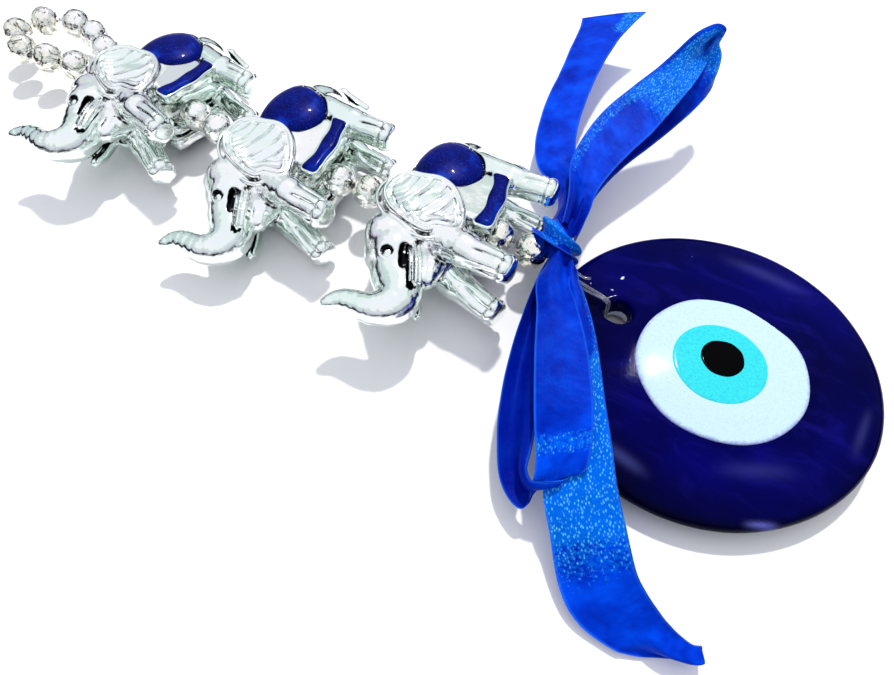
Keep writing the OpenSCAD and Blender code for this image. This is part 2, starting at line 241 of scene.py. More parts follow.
M_BODY = silver("silvered_charm", (0.97, 0.975, 0.97), (0.82, 0.95, 0.88), 0.07, 0.30, 230, 0.30, 0.300)
M_BEAD = silver("silvered_bead", (0.98, 0.98, 0.95), (0.93, 0.92, 0.80), 0.05, 0.85, 480, 0.35, 0.385, crease_shade=False)
M_CRIMP = silver("pressed_crimp", (0.75, 0.74, 0.70), (0.62, 0.60, 0.56), 0.16, 0.5, 900, 0.5, 0.30, crease_shade=False)


def enamel():
    m = Mat("blue_enamel")
    m.set(Metallic=0.04, Roughness=0.34, IOR=1.09)
    m.set(Coat_Weight=0.035, Coat_Roughness=0.06)
    big = m.noise(120, 3, 0.6)
    col = m.ramp(big, "Fac", [(0.34, (0.0003, 0.001, 0.050)), (0.54, (0.0005, 0.003, 0.125)), (0.70, (0.001, 0.035, 0.42))])
    fleck = m.noise(4200, 2, 0.7)
    fl = m.ramp(fleck, "Fac", [(0.55, (0, 0, 0)), (0.72, (0.01, 0.05, 0.45))])
    c = m.mix(0.7, (col, "Color"), (fl, "Color"), "ADD")
    m.l(c, 2, m.b, "Base Color")
    w = m.noise(220, 2, 0.5)
    b = m.bump(w, "Fac", 0.18, 0.0006)
    g = m.noise(2400, 3, 0.6)
    m.bump(g, "Fac", 0.2, 0.00003, b)
    return m.m


M_ENAMEL = enamel()


def cobalt():
    m = Mat("cobalt_glass")
    m.set(Roughness=0.06, IOR=1.45, Specular_IOR_Level=0.03)
    big = m.noise(34, 3, 0.55, dist=0.4)
    col = m.ramp(big, "Fac", [(0.30, (0.0, 0.0, 0.028)), (0.50, (0.0001, 0.0001, 0.060)), (0.70, (0.0004, 0.0004, 0.115))])
    sw = m.noise(75, 4, 0.6, vec=m.obj((1, 2.4, 1), rot=(0, 0, 0.6)), dist=1.2)
    sk = m.ramp(sw, "Fac", [(0.52, (0, 0, 0)), (0.80, (0.004, 0.003, 0.075))])
    c = m.mix(0.9, (col, "Color"), (sk, "Color"), "ADD")
    # painted shade: the colour darkens towards the bottom of the rim and on the back
    sep = m.n("ShaderNodeSeparateXYZ")
    m.l(m.obj(), "Vector", sep, "Vector")
    painted_light = m.attr("painted_light")
    lo = m.n("ShaderNodeMapRange")
    m.l(sep, "Z", lo, "Value")
    for k, v in (("From Min", 0.001), ("From Max", 0.0052), ("To Min", 0.0), ("To Max", 1.0)):
        lo.inputs[k].default_value = v
    c2 = m.mix((lo, "Result"), (0.002, 0.0016, 0.035), (c, 2))
    # painted light: pale spots and the bright hole slit (painted_light), lighter blue painted highlight streaks (lit),
    # darker painted shade (painted_shade)
    pn = m.noise(900, 3, 0.6)
    pj = m.math("MULTIPLY_ADD", (pn, "Fac"), 0.5, -0.25)
    pe = m.math("ADD", (painted_light, "Fac"), (pj, "Value"))
    pr_ = m.ramp(pe, "Value", [(0.30, (0, 0, 0)), (0.50, (1, 1, 1))])
    dm, lt = m.attr("painted_shade"), m.attr("lit")
    ca = m.mix((dm, "Fac"), (c2, 2), (0.0, 0.0, 0.006))
    cb = m.mix((lt, "Fac"), (ca, 2), (0.10, 0.11, 0.42))
    c3 = m.mix((pr_, "Color"), (cb, 2), (0.75, 0.80, 0.98))
    m.l(c3, 2, m.b, "Base Color")
    rr = m.n("ShaderNodeMapRange")
    rn = m.noise(210, 5, 0.65)
    m.l(rn, "Fac", rr, "Value")
    for k, v in (("From Min", 0.40), ("From Max", 0.80), ("To Min", 0.035), ("To Max", 0.12)):
        rr.inputs[k].default_value = v
    m.l(rr, "Result", m.b, "Roughness")
    wob = m.noise(60, 2, 0.5)
    b1 = m.bump(wob, "Fac", 0.22, 0.0012)
    pit = m.n("ShaderNodeTexVoronoi")
    pit.inputs["Scale"].default_value = 380
    m.l(m.obj(), "Vector", pit, "Vector")
    pr = m.ramp(pit, "Distance", [(0.0, (0, 0, 0)), (0.10, (1, 1, 1))])
    b2 = m.bump(pr, "Color", 0.12, 0.00008, b1)
    sc = m.noise(900, 2, 0.7, vec=m.obj((1, 14, 1), rot=(0, 0, 0.9)))
    m.bump(sc, "Fac", 0.10, 0.00004, b2)
    return m.m


M_COBALT = cobalt()


def eye_mat(name, base, edge, speck, rough):
    m = Mat(name)
    m.set(Roughness=rough, IOR=1.45, Specular_IOR_Level=0.035)
    a = m.attr("edge")
    n = m.noise(1500, 4, 0.7)
    j = m.math("MULTIPLY_ADD", (n, "Fac"), 0.9, -0.45)
    e = m.math("ADD", (a, "Fac"), (j, "Value"))
    r = m.ramp(e, "Value", [(0.55, (0, 0, 0)), (1.0, (1, 1, 1))])
    sp = m.noise(2600, 3, 0.65)
    sr = m.ramp(sp, "Fac", [(0.35, speck), (0.55, base)])
    c = m.mix((r, "Color"), (sr, "Color"), edge)
    m.l(c, 2, m.b, "Base Color")
    w = m.noise(90, 2, 0.5)
    b = m.bump(w, "Fac", 0.25, 0.0006)
    g = m.noise(1800, 3, 0.6)
    m.bump(g, "Fac", 0.10, 0.00003, b)
    return m.m


M_WHITE = eye_mat("white_eye_glass", (0.50, 0.67, 0.69), (0.26, 0.30, 0.66), (0.45, 0.61, 0.67), 0.10)
M_IRIS = eye_mat("blue_eye_glass", (0.036, 0.61, 0.64), (0.10, 0.72, 0.78), (0.03, 0.48, 0.60), 0.10)
M_PUPIL = eye_mat("black_eye_glass", (0.0002, 0.0002, 0.0004), (0.0, 0.03, 0.05), (0.0006, 0.0006, 0.001), 0.08)


def satin():
    """Woven satin: uv is in millimetres, u across and v along the ribbon."""
    m = Mat("blue_satin")
    m.set(Roughness=0.36, Anisotropic=0.4, Specular_IOR_Level=0.045, Specular_Tint=(0.25, 0.55, 1.0, 1.0))
    uvn = m.n("ShaderNodeUVMap", uv_map="UVMap")
    def mp(scale, rot=0.0):
        x = m.n("ShaderNodeMapping")
        x.inputs["Scale"].default_value = scale
        x.inputs["Rotation"].default_value = (0, 0, rot)
        m.l(uvn, "UV", x, "Vector")
        return x
    broad = m.noise(0.16, 3, 0.6, vec=mp((1, 1, 1)))
    col = m.ramp(broad, "Fac", [(0.30, (0.0, 0.014, 0.38)), (0.50, (0.0, 0.040, 0.60)), (0.72, (0.0, 0.080, 0.80))])
    # threads: fine ribs across and floats along, on a slant
    wv = m.n("ShaderNodeTexWave", wave_type="BANDS", bands_direction="Y")
    wv.inputs["Scale"].default_value = 1.35
    wv.inputs["Distortion"].default_value = 0.6
    wv.inputs["Detail"].default_value = 2
    m.l(mp((1, 1, 1), 0.45), "Vector", wv, "Vector")
    wx = m.n("ShaderNodeTexWave", wave_type="BANDS", bands_direction="X")
    wx.inputs["Scale"].default_value = 1.7
    wx.inputs["Distortion"].default_value = 0.8
    m.l(mp((1, 1, 1)), "Vector", wx, "Vector")
    shade = m.math("MULTIPLY", (wv, "Fac"), (wx, "Fac"))
    # painted shade: colour darkens towards deep blue where fold_shade is high, on folds, the lower loop and the knot
    dd = m.attr("fold_shade")
    c0 = m.mix((dd, "Fac"), (col, "Color"), (0.0, 0.003, 0.24))
    c1 = m.mix(0.22, (c0, 2), (shade, "Value"), "OVERLAY")
    # glints: short floats that catch the light, in slanting rows
    vo = m.n("ShaderNodeTexVoronoi", feature="F1")
    vo.inputs["Scale"].default_value = 1.0
    vo.inputs["Randomness"].default_value = 0.75
    m.l(mp((3.6, 1.5, 1), 0.50), "Vector", vo, "Vector")
    dots = m.ramp(vo, "Distance", [(0.14, (1, 1, 1)), (0.46, (0, 0, 0))])
    sp = m.attr("spark")
    jit = m.noise(1.6, 3, 0.6, vec=mp((1, 1, 1)))
    j2 = m.math("MULTIPLY_ADD", (jit, "Fac"), 1.5, -0.75)
    amt = m.math("ADD", (sp, "Fac"), (j2, "Value"))
    on = m.ramp(amt, "Value", [(0.42, (0, 0, 0)), (0.80, (1, 1, 1))])
    gl = m.mix(1.0, (dots, "Color"), (on, "Color"), "MULTIPLY")
    # painted sheen: a lighter blue wash over the areas where the glints are on
    glint_sheen = m.mix(0.52, (0, 0, 0), (on, "Color"))
    c2 = m.mix((glint_sheen, 2), (c1, 2), (0.0, 0.19, 0.74))
    c3 = m.mix((gl, 2), (c2, 2), (0.09, 0.50, 0.84))
    # the woven edge is a little lighter
    ed = m.attr("selv")
    er = m.ramp(ed, "Fac", [(0.90, (0, 0, 0)), (0.97, (1, 1, 1))])
    ef = m.mix(0.45, (0, 0, 0), (er, "Color"))
    c4 = m.mix((ef, 2), (c3, 2), (0.02, 0.16, 0.90))
    m.l(c4, 2, m.b, "Base Color")
    b1 = m.bump(shade, "Value", 0.30, 0.00006)
    fine = m.noise(7, 3, 0.6, vec=mp((1.0, 0.35, 1)))
    b2 = m.bump(fine, "Fac", 0.20, 0.00005, b1)
    crum = m.noise(0.55, 3, 0.55, vec=mp((1, 1, 1)))
    m.bump(crum, "Fac", 0.30, 0.0007, b2)
    return m.m


M_SATIN = satin()


def nylon():
    m = Mat("clear_line")
    m.set(Roughness=0.10, IOR=1.40, Transmission_Weight=0.90, Specular_IOR_Level=0.35)
    n = m.noise(900, 3, 0.6)
    r = m.ramp(n, "Fac", [(0.35, (0.62, 0.68, 0.86)), (0.65, (0.95, 0.97, 1.0))])
    m.l(r, "Color", m.b, "Base Color")
    g = m.noise(1600, 3, 0.7, vec=m.obj((1, 5, 1)))
    m.bump(g, "Fac", 0.35, 0.00006)
    return m.m


M_LINE = nylon()

# ---------------------------------------------------------------- solid modelling by distance functions
def dot(a, b):
    return a[..., 0] * b[0] + a[..., 1] * b[1] + a[..., 2] * b[2]


def length(v):
    return np.sqrt((v * v).sum(-1))


def rc(P, a, b, ra, rb):
    a, b = np.asarray(a, np.float32), np.asarray(b, np.float32)
    pa, ba = P - a, b - a
    t = np.clip(dot(pa, ba) / float(ba @ ba), 0, 1)
    return length(pa - t[..., None] * ba) - (ra + (rb - ra) * t)


def smin(a, b, k):
    h = np.clip(0.5 + 0.5 * (b - a) / k, 0, 1)
    return b * (1 - h) + a * h - k * h * (1 - h)


def smax(a, b, k):
    return -smin(-a, -b, k)


def sstep(lo, hi, x):
    t = np.clip((x - lo) / (hi - lo), 0, 1)
    return t * t * (3 - 2 * t)


def torso_d(Q):
    d = rc(Q, (3.5, 0, 3.6), (-7, 0, 4.6), 7.6, 7.6)
    d = smin(d, rc(Q, (-7, 0, 4.6), (-14, 0, 3.2), 7.6, 6.8), 1.2)
    return smin(d, rc(Q, (-10.5, 2.2, 5.8), (-3.8, 2.8, 7.0), 5.4, 5.0), 1.2)


def poly_d(x, z, pts, r=0.0):
    """Signed distance to a closed outline in the x-z plane, its corners rounded by r."""
    p = np.asarray(pts, np.float32)
    d = np.full(x.shape, 1e9, np.float32)
    inside = np.zeros(x.shape, bool)
    n = len(p)
    for i in range(n):
        a, b = p[i], p[(i + 1) % n]
        e = b - a
        wx, wz = x - a[0], z - a[1]
        t = np.clip((wx * e[0] + wz * e[1]) / float(e @ e), 0, 1)
        d = np.minimum(d, (wx - e[0] * t) ** 2 + (wz - e[1] * t) ** 2)
        if abs(e[1]) > 1e-9:
            cross = (a[1] > z) != (b[1] > z)
            inside ^= cross & (x < e[0] * (z - a[1]) / e[1] + a[0])
    d = np.sqrt(d)
    return np.where(inside, -d, d) - r


def closed(pts, k):
    p = list(pts)
    return spline(np.array([p[-1]] + p + p[:2], float), k)[k:-k - 0][: len(p) * k]


SADDLE = closed([(-3.2, 10.7), (-1.9, 9.4), (-1.6, 6.5), (-2.0, 3.2), (-3.2, 0.4), (-5.0, -1.0), (-7.2, -1.8), (-9.6, -1.2),
                 (-11.6, 0.4), (-12.6, 2.2), (-13.3, 5.0), (-13.0, 7.0), (-11.8, 8.3), (-8.6, 9.8), (-5.8, 10.6)], 3)
EAR = closed([(0.1, 9.4), (1.9, 11.1), (4.3, 11.5), (6.4, 10.9), (8.4, 9.0), (9.4, 7.0), (10.3, 4.6), (10.9, 2.4), (10.9, 0.6),
              (9.7, -0.6), (9.3, -3.4), (8.4, -4.3), (7.2, -4.2), (4.6, -3.0), (1.9, -1.2), (-0.1, 0.9), (-1.1, 3.8), (-0.4, 6.9)], 3)


def saddle_2d(x, z):
    return poly_d(x, z, SADDLE, 1.0)


def cushion(x, y, z):
    """Boxy round cross-section under the saddle: fuller at the shoulder than a circle."""
    q = ((np.abs(y) / 7.9) ** 4 + (np.abs(z - 3.0) / 9.6) ** 4 + 1e-9) ** 0.25
    return (q - 1) * 8.0


def saddle_d(Q, t):
    """Oval pad on the flank, its edge rolled over."""
    x, y, z = Q[..., 0], Q[..., 1], Q[..., 2]
    d = smax(saddle_2d(x, z), cushion(x, y, z) - t + 0.030 * ((x + 7.6) ** 2 + (z - 4.6) ** 2) - 0.9, 1.3)
    return smax(d, 2.4 - y, 0.4)


def hem_d(Q, t):
    x, y, z = Q[..., 0], Q[..., 1], Q[..., 2]
    zc = -8.0 + 0.0155 * (x - 2.2) ** 2
    sl = np.sqrt(1 + (0.031 * (x - 2.2)) ** 2)
    bx = np.abs(x + 1.8) - 7.4
    bz = np.abs(z - zc) / sl - 1.60 + 0.16 * np.sin(0.9 * x + 0.6)
    by = np.abs(y - 6.0) - (1.20 + t)
    return smax(smax(bx, bz, 0.9), by, 1.1)


TRUNK = [((18.3, 0, 3.2), 4.6), ((22.4, 0, 0.4), 3.9), ((25.6, 0, 1.0), 3.2), ((27.2, 0, 3.6), 2.6),
         ((27.4, 0, 7.2), 2.15), ((27.9, 0, 9.6), 1.65), ((29.8, 0, 11.6), 0.75)]


def trunk_d(Q):
    pts = spline([p for p, _ in TRUNK], 3)
    rad = np.interp(np.linspace(0, 6, len(pts)), range(7), [r for _, r in TRUNK])
    d, s = None, 0.0
    for i in range(len(pts) - 1):
        a, b = pts[i], pts[i + 1]
        pa, ba = Q - a.astype(np.float32), (b - a).astype(np.float32)
        L = float(np.linalg.norm(ba))
        t = np.clip(dot(pa, ba) / L ** 2, 0, 1)
        v = pa - t[..., None] * ba
        r = rad[i] + (rad[i + 1] - rad[i]) * t
        arc = s + t * L
        # wrinkles ring the trunk, deepest in the middle
        g = 0.13 * np.clip(np.cos(arc * 2 * math.pi / 1.75), -0.2, 1) * sstep(3.0, 7.0, arc) * (1 - sstep(17.0, 21.0, arc))
        di = length(v) - r + g
        d = di if d is None else smin(d, di, 0.8)
        s += L
    return d


def ear_d(Q):
    x, y, z = Q[..., 0], Q[..., 1], Q[..., 2]
    d2 = poly_d(x, z, EAR, 1.05)
    # a crease divides the folded upper leaf from the smooth lower lap
    sc = (x - 4.9) * 0.886 - (z + 3.8) * 0.464
    inside = sstep(-0.9, -2.2, d2)
    q = z * 0.94 - x * 0.34
    upper = sstep(0.2, -0.6, sc) * inside
    fold = (0.26 * np.sin(q * 2.3 + 0.9 * np.sin(x * 0.45)) + 0.10 * np.sin(q * 6.1 + 1.6 * np.sin(x * 0.5 + 1.0))) * upper
    crease = -0.40 * np.exp(-(sc / 0.30) ** 2) * sstep(-0.2, -1.0, d2) + 0.35 * np.exp(-((sc - 0.75) / 0.4) ** 2) * inside
    rim = 0.42 * np.exp(-((d2 + 0.50) / 0.42) ** 2) - 0.26 * np.exp(-((d2 + 1.15) / 0.22) ** 2) + 0.26 * np.exp(-((d2 + 1.75) / 0.34) ** 2)
    rim = rim * (0.35 + 0.65 * sstep(-4.0, 3.0, x + z * 0.4 - 4.0))
    bowl = -0.55 * sstep(-1.6, -4.5, d2)
    out = 7.85 - 0.085 * (x - 3.2) + rim + fold + crease + bowl
    d = smax(d2 * 0.94, y - out, 0.5)
    return smax(d, 4.6 - y, 0.4) * 0.85


def one_leg(Q, a, k, b, r0, r1, r2):
    """Leg from a over the knee k to the sole at b, with flutes down the shank and a domed sole."""
    a, k, b = (np.asarray(v, float) for v in (a, k, b))
    ax = unit(b - k)
    L = float(np.linalg.norm(b - k))
    v = Q - b.astype(np.float32)
    s = dot(v, ax)
    e1 = unit(np.cross(ax, [1.0, 0, 0])); e1 = e1 if e1[1] > 0 else -e1
    e2 = np.cross(e1, ax)
    p1, p2 = dot(v, e1), dot(v, e2)
    perp = np.sqrt(p1 * p1 + p2 * p2)
    th = np.arctan2(p2, p1)
    flute = sstep(-L + 1.5, -L + 4.0, s) * sstep(0.6, -1.6, s)
    rr = r1 + (r2 - r1) * np.clip((s + L) / L, 0, 1)
    # flat facets with sharp grooves between them
    bend = th + 0.10 * np.sin(s * 0.55)
    prof = rr - 0.46 * np.exp(-((bend - 0.62) / 0.15) ** 2) - 0.50 * np.exp(-((bend + 0.42) / 0.16) ** 2) - 0.52 * np.exp(-((bend - 1.62) / 0.22) ** 2) \
        - 0.52 * np.exp(-((bend + 1.50) / 0.22) ** 2) - 0.35 * np.exp(-((np.abs(bend) - 2.5) / 0.2) ** 2) + 0.16 * np.cos(th * 4)
    prof = rr + (prof - rr) * flute + 0.16 * np.exp(-((s + 1.3) / 0.45) ** 2) - 0.20 * np.exp(-((s + 2.2) / 0.30) ** 2)
    sh = smax(smax(perp - prof, s + 0.03 * perp * perp - 0.1, 1.3), -L - s, 0.4)
    top = rc(Q, a, k, r0, r1 + 0.25)
    d = smin(top, sh, 0.6)
    return d


def legs_d(P):
    """Four legs in mid stride; the lower front one reaches furthest forward."""
    up = P[..., 1] > 0
    Q = P.copy(); Q[..., 1] = np.abs(Q[..., 1])
    hu = one_leg(Q, (-12.4, 3.6, -0.5), (-11.6, 4.3, -7.2), (-11.2, 4.5, -17.0), 3.8, 3.05, 2.95)
    hl = one_leg(Q, (-12.0, 3.6, -0.5), (-11.0, 4.3, -7.2), (-10.2, 4.5, -17.0), 3.8, 2.9, 2.8)
    fu = one_leg(Q, (8.6, 3.5, -0.5), (10.6, 4.6, -6.4), (12.5, 5.1, -16.9), 4.0, 3.15, 2.85)
    fl = one_leg(Q, (8.8, 3.5, -0.5), (11.2, 4.6, -6.0), (14.8, 4.9, -16.3), 4.0, 3.05, 2.75)
    return smin(np.where(up, hu, hl), np.where(up, fu, fl), 1.2)


def elephant_d(P):
    Q = P.copy()
    Q[..., 1] = np.abs(Q[..., 1])
    x, y, z = Q[..., 0], Q[..., 1], Q[..., 2]
    body = torso_d(Q)
    body = smin(body, rc(Q, (3.0, 0, 0.5), (-11, 0, 0.2), 6.4, 6.0), 2.0)
    # blanket hanging on the flank down to the hem
    bl = smax(smax(np.abs(x + 2.0) - 6.6, np.abs(z + 2.0) - 6.3, 1.8), np.abs(y - 4.9) - 1.95, 1.3)
    body = smin(body, bl, 0.9)
    hm = hem_d(Q, 0.0)
    body = smin(body, smax(hm - 0.22, y - 6.9, 0.3), 0.2)
    body = smin(body, legs_d(P), 0.9)
    # seat and raised lip of the saddle
    sd2 = saddle_2d(x, z)
    cu = cushion(x, y, z) + 0.030 * ((x + 7.6) ** 2 + (z - 4.6) ** 2) - 0.9
    body = smax(body, -smax(smax(sd2 - 0.1, -(cu + 0.8), 0.2), 2.6 - y, 0.2), 0.2)
    body = smin(body, smax(smax(sd2 - 0.55, cu + 0.42, 0.5), 1.0 - y, 0.3), 0.3)
    body = smax(body, -smax(smax(sd2 - 0.04, -(cu + 0.75), 0.1), 2.8 - y, 0.2), 0.12)
    # head
    head = smin(rc(Q, (7, 0, 5), (13.2, 0, 5.6), 6.6, 6.5), rc(Q, (13.2, 0, 4), (18.3, 0, 3.2), 5.4, 3.9), 2.5)
    head = smin(head, length(Q - np.array([11.6, 2.6, 8.6], np.float32)) - 4.1, 1.6)
    head = smin(head, length(Q - np.array([15.4, 2.9, 5.4], np.float32)) - 3.5, 1.2)
    head = head + 0.55 * np.exp(-((z - 12.4) ** 2 + y * y * 0.6) / 5.0)
    jaw = rc(Q, (11.5, 0, -0.8), (16.6, 0, -2.0), 3.4, 2.0)
    head = smin(head, jaw, 0.9)
    d = smin(body, head, 1.0)
    # brow, eye ring and eyeball
    e = np.array([17.6, 4.55, 5.1], np.float32)
    en = unit([0.42, 0.90, 0.10]).astype(np.float32)
    v = Q - e
    h = dot(v, en)
    pr = np.sqrt(np.maximum(length(v) ** 2 - h * h, 0))
    d = smax(d, -(length(v - en * 0.5) - 1.25), 0.25)
    d = smin(d, np.sqrt((pr - 1.25) ** 2 + (h - 0.15) ** 2) - 0.34, 0.15)
    d = smin(d, length(v + en * 0.25) - 0.95, 0.12)
    d = smin(d, np.sqrt((pr - 2.05) ** 2 + (h + 0.1) ** 2) - 0.22, 0.2)
    # cheek crease and mouth pocket behind the tusk
    d = smin(d, trunk_d(Q), 1.1)
    d = smax(d, -(rc(Q, (15.8, 5.3, 2.5), (18.8, 4.8, 1.5), 1.0, 0.7)), 0.5)
    d = d + 0.16 * np.sin(2.3 * x + 1.1 * z) * np.sin(2.9 * z - 0.8 * x + 1.0) * np.exp(-(((x - 15.6) / 3.2) ** 2 + ((z + 2.0) / 2.6) ** 2)) * (np.abs(y) > 1.0)
    d = smax(d, -(rc(Q, (14.4, 5.4, -1.4), (17.8, 4.0, -3.6), 1.0, 0.8)), 0.3)
    # tusk, curved and ridged along its length
    tk = spline([(14.4, 4.6, 1.3), (16.8, 5.2, 0.1), (19.0, 5.2, -1.2), (21.5, 4.7, -2.3)], 3)
    tr = np.linspace(1.15, 0.95, len(tk))
    tusk = None
    for i in range(len(tk) - 1):
        s1 = rc(Q, tk[i], tk[i + 1], tr[i], tr[i + 1])
        tusk = s1 if tusk is None else smin(tusk, s1, 0.2)
    tusk = tusk + 0.20 * np.cos(((z + 0.55 * (x - 16.8)) * 1.0 + 0.3 * y) * 5.2)
    d = smin(d, tusk, 0.22)
    d = smin(d, ear_d(Q), 0.35)
    # small ring where the ear meets the head
    tie = poly_d(x, z, EAR, 2.05)
    d = smin(d, smax(smax(np.abs(tie) - 0.32, np.abs(y - 6.2) - 0.5, 0.3), 3.0 - (x * 0.8 + z * 0.35), 0.3), 0.3)
    # tail
    tail = rc(Q, (-20.2, 0, 6.2), (-22.4, 0, 2.8), 1.25, 1.0)
    tail = smin(tail, rc(Q, (-22.4, 0, 2.8), (-20.6, 0, -4.2), 0.95, 0.75), 0.5)
    d = smin(d, tail, 0.6)
    # the line's hole and the hollow under the belly
    hole = length(Q[..., :2]) - 0.72
    d = smax(d, -smax(hole, -z - 0.0, 0.1), 0.25)
    seat = smax(length(Q[..., :2]) - 3.8, np.abs(z + 11.2) - 5.3, 0.4)
    d = smax(d, -seat, 0.4)
    return d


def surface_nets(fn, lo, hi, h, newton=2):
    lo = np.asarray(lo, np.float32)
    n = np.ceil((np.asarray(hi) - lo) / h).astype(int) + 1
    ax = [lo[i] + h * np.arange(n[i], dtype=np.float32) for i in range(3)]
    F = np.empty(n, np.float32)
    for i0 in range(0, n[0], 24):
        g = np.stack(np.meshgrid(ax[0][i0:i0 + 24], ax[1], ax[2], indexing="ij"), -1).astype(np.float32)
        F[i0:i0 + 24] = fn(g)
    S = F < 0
    c = [(i, j, k) for i in (0, 1) for j in (0, 1) for k in (0, 1)]
    m = [np.s_[a:n[0] - 1 + a] for a in (0, 1)]
    cnt = sum(S[i:n[0] - 1 + i, j:n[1] - 1 + j, k:n[2] - 1 + k].astype(np.int8) for i, j, k in c)
    mask = (cnt > 0) & (cnt < 8)
    idx = np.argwhere(mask)
    acc, num = np.zeros((len(idx), 3)), np.zeros(len(idx))
    for a in c:
        for d in range(3):
            if a[d]:
                continue
            b = list(a); b[d] = 1
            ia, ib = idx + np.array(a), idx + np.array(b)
            fa, fb = F[tuple(ia.T)], F[tuple(ib.T)]
            w = (fa < 0) != (fb < 0)
            t = np.where(w, fa / np.where(w, fa - fb, 1), 0)
            p = np.array(a) + t[:, None] * (np.array(b) - np.array(a))
            acc[w] += p[w]; num[w] += 1
    V = lo + h * (idx + acc / num[:, None])
    vid = np.full(mask.shape, -1, np.int64)
    vid[mask] = np.arange(len(idx))
    faces = []
    for d in range(3):
        e1, e2 = [k for k in range(3) if k != d]
        sl0 = [slice(None)] * 3; sl1 = [slice(None)] * 3
        sl0[d] = slice(0, n[d] - 1); sl1[d] = slice(1, n[d])
        A, B = S[tuple(sl0)], S[tuple(sl1)]
        ed = np.argwhere(A != B)
        ok = (ed[:, e1] > 0) & (ed[:, e2] > 0) & (ed[:, e1] < n[e1] - 1) & (ed[:, e2] < n[e2] - 1)
        ed = ed[ok]
        inside_first = A[tuple(ed.T)]
        q = []
        for o1, o2 in ((-1, -1), (0, -1), (0, 0), (-1, 0)):
            e = ed.copy(); e[:, e1] += o1; e[:, e2] += o2
            q.append(vid[tuple(e.T)])
        q = np.stack(q, 1)
        flip = inside_first if d != 1 else ~inside_first
        q[~flip] = q[~flip][:, ::-1]
        faces.append(q)
    faces = np.concatenate(faces)
    for _ in range(newton):
        f0 = fn(V[None].astype(np.float32))[0]
        e = 0.04
        G = np.stack([(fn((V + np.eye(3)[k] * e)[None].astype(np.float32))[0] - fn((V - np.eye(3)[k] * e)[None].astype(np.float32))[0]) / (2 * e) for k in range(3)], 1)
        g2 = np.maximum((G * G).sum(1), 0.15)
        step = (f0 / g2)[:, None] * G
        ln = np.linalg.norm(step, axis=1, keepdims=True)
        V = V - step * np.minimum(1, 0.3 * h / np.maximum(ln, 1e-9)) * 0.8
    return V, faces


H = 0.29
body_v, body_f = surface_nets(elephant_d, (-25.5, -10.6, -19), (33.5, 10.6, 14.5), H)
sad_v, sad_f = surface_nets(lambda P: saddle_d(np.stack([P[..., 0], np.abs(P[..., 1]), P[..., 2]], -1), -0.3), (-17, -9.6, -5), (1.5, 9.6, 14.5), H)
hm_v, hm_f = surface_nets(lambda P: smax(hem_d(np.stack([P[..., 0], np.abs(P[..., 1]), P[..., 2]], -1), 0.28), 6.3 - np.abs(P[..., 1]), 0.1), (-10.5, -8.5, -11), (7, 8.5, -4), min(H, 0.3))


def cavity(fn, V):
    """How deep each point sits in a crease: 0 in the open, 1 in a tight groove."""
    V = V.astype(np.float32)
    G = np.stack([fn((V + np.eye(3, dtype=np.float32)[k] * 0.05)[None])[0] - fn((V - np.eye(3, dtype=np.float32)[k] * 0.05)[None])[0] for k in range(3)], 1)
    N = (G / np.maximum(np.linalg.norm(G, axis=1, keepdims=True), 1e-6)).astype(np.float32)
    out = np.zeros(len(V))
    for h, wt in ((0.45, 0.55), (1.1, 0.75), (2.4, 0.35)):
        out += wt * np.clip(1 - fn((V + N * h)[None])[0] / h, 0, 1)
    return out


# painted shade for the creases: darker where the surface sits deep in a crease, in the mouth pocket and round the eye;
# lighter on and beside the ear
crease_shade = cavity(elephant_d, body_v)
bq = body_v.copy(); bq[:, 1] = np.abs(bq[:, 1])
crease_shade += 0.80 * sstep(2.1, 0.4, rc(bq.astype(np.float32), (16.0, 5.0, 2.4), (18.6, 4.5, 1.4), 0, 0)) * (bq[:, 1] > 2.5) * (0.70 + 0.30 * np.sin(3.4 * bq[:, 0] + 0.8) * np.sin(2.9 * bq[:, 2] + 0.4))
crease_shade += 0.05 * np.exp(-((np.linalg.norm(bq - np.array([17.6, 4.55, 5.1]), axis=1) - 1.7) / 0.35) ** 2)
ear_in = sstep(-0.2, -0.9, poly_d(bq[:, 0].astype(np.float32), bq[:, 2].astype(np.float32), EAR, 1.05)) * (bq[:, 1] > 6.4)
ear_by = sstep(3.6, 2.2, poly_d(bq[:, 0].astype(np.float32), bq[:, 2].astype(np.float32), EAR, 1.05)) * (bq[:, 1] > 3.5) * (1 - ear_in)
crease_shade *= (1 - 0.62 * ear_in) * (1 - 0.42 * ear_by)
crease_shade = np.clip(crease_shade, 0, 1.5)

CHARMS = {1: ((-127.4, 6.0), -8.0, -6.0), 2: ((-88.6, 3.1), 0.6, 4.0), 3: ((-52.5, 5.0), 4.6, -4.6)}


def charm_matrix(c, yaw, roll):
    m = Matrix.Translation(Vector(((c[0] + SHIFT[0]) * MM, (c[1] + SHIFT[1]) * MM, LINE_Z * MM)))
    m = m @ Matrix.Rotation(math.radians(yaw), 4, "Z") @ Matrix.Rotation(math.radians(roll), 4, "X")
    return m @ Matrix.Rotation(math.radians(-90), 4, "Z") @ Matrix.Rotation(math.radians(90), 4, "X")


first = {}
for i, (c, yaw, roll) in CHARMS.items():
    for part, (v, f, mat) in {"body": (body_v, body_f, M_BODY), "saddle": (sad_v, sad_f, M_ENAMEL), "hem": (hm_v, hm_f, M_ENAMEL)}.items():
        o = make(f"charm_{i}_{part}", v, f, mat, mesh=first.get(part), attrs={"crease_shade": crease_shade} if part == "body" else None)
        first[part] = o.data
        o.matrix_world = charm_matrix(c, yaw, roll)
        bpy.context.view_layer.update()
        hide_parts(f"elephant_{i}_{part}")
        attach(o, f"elephant_{i}")


# ---------------------------------------------------------------- beads
def on(c, yaw, s, z=LINE_Z):
    a = math.radians(yaw)
    return np.array([c[0] + s * math.cos(a), c[1] + s * math.sin(a), z])


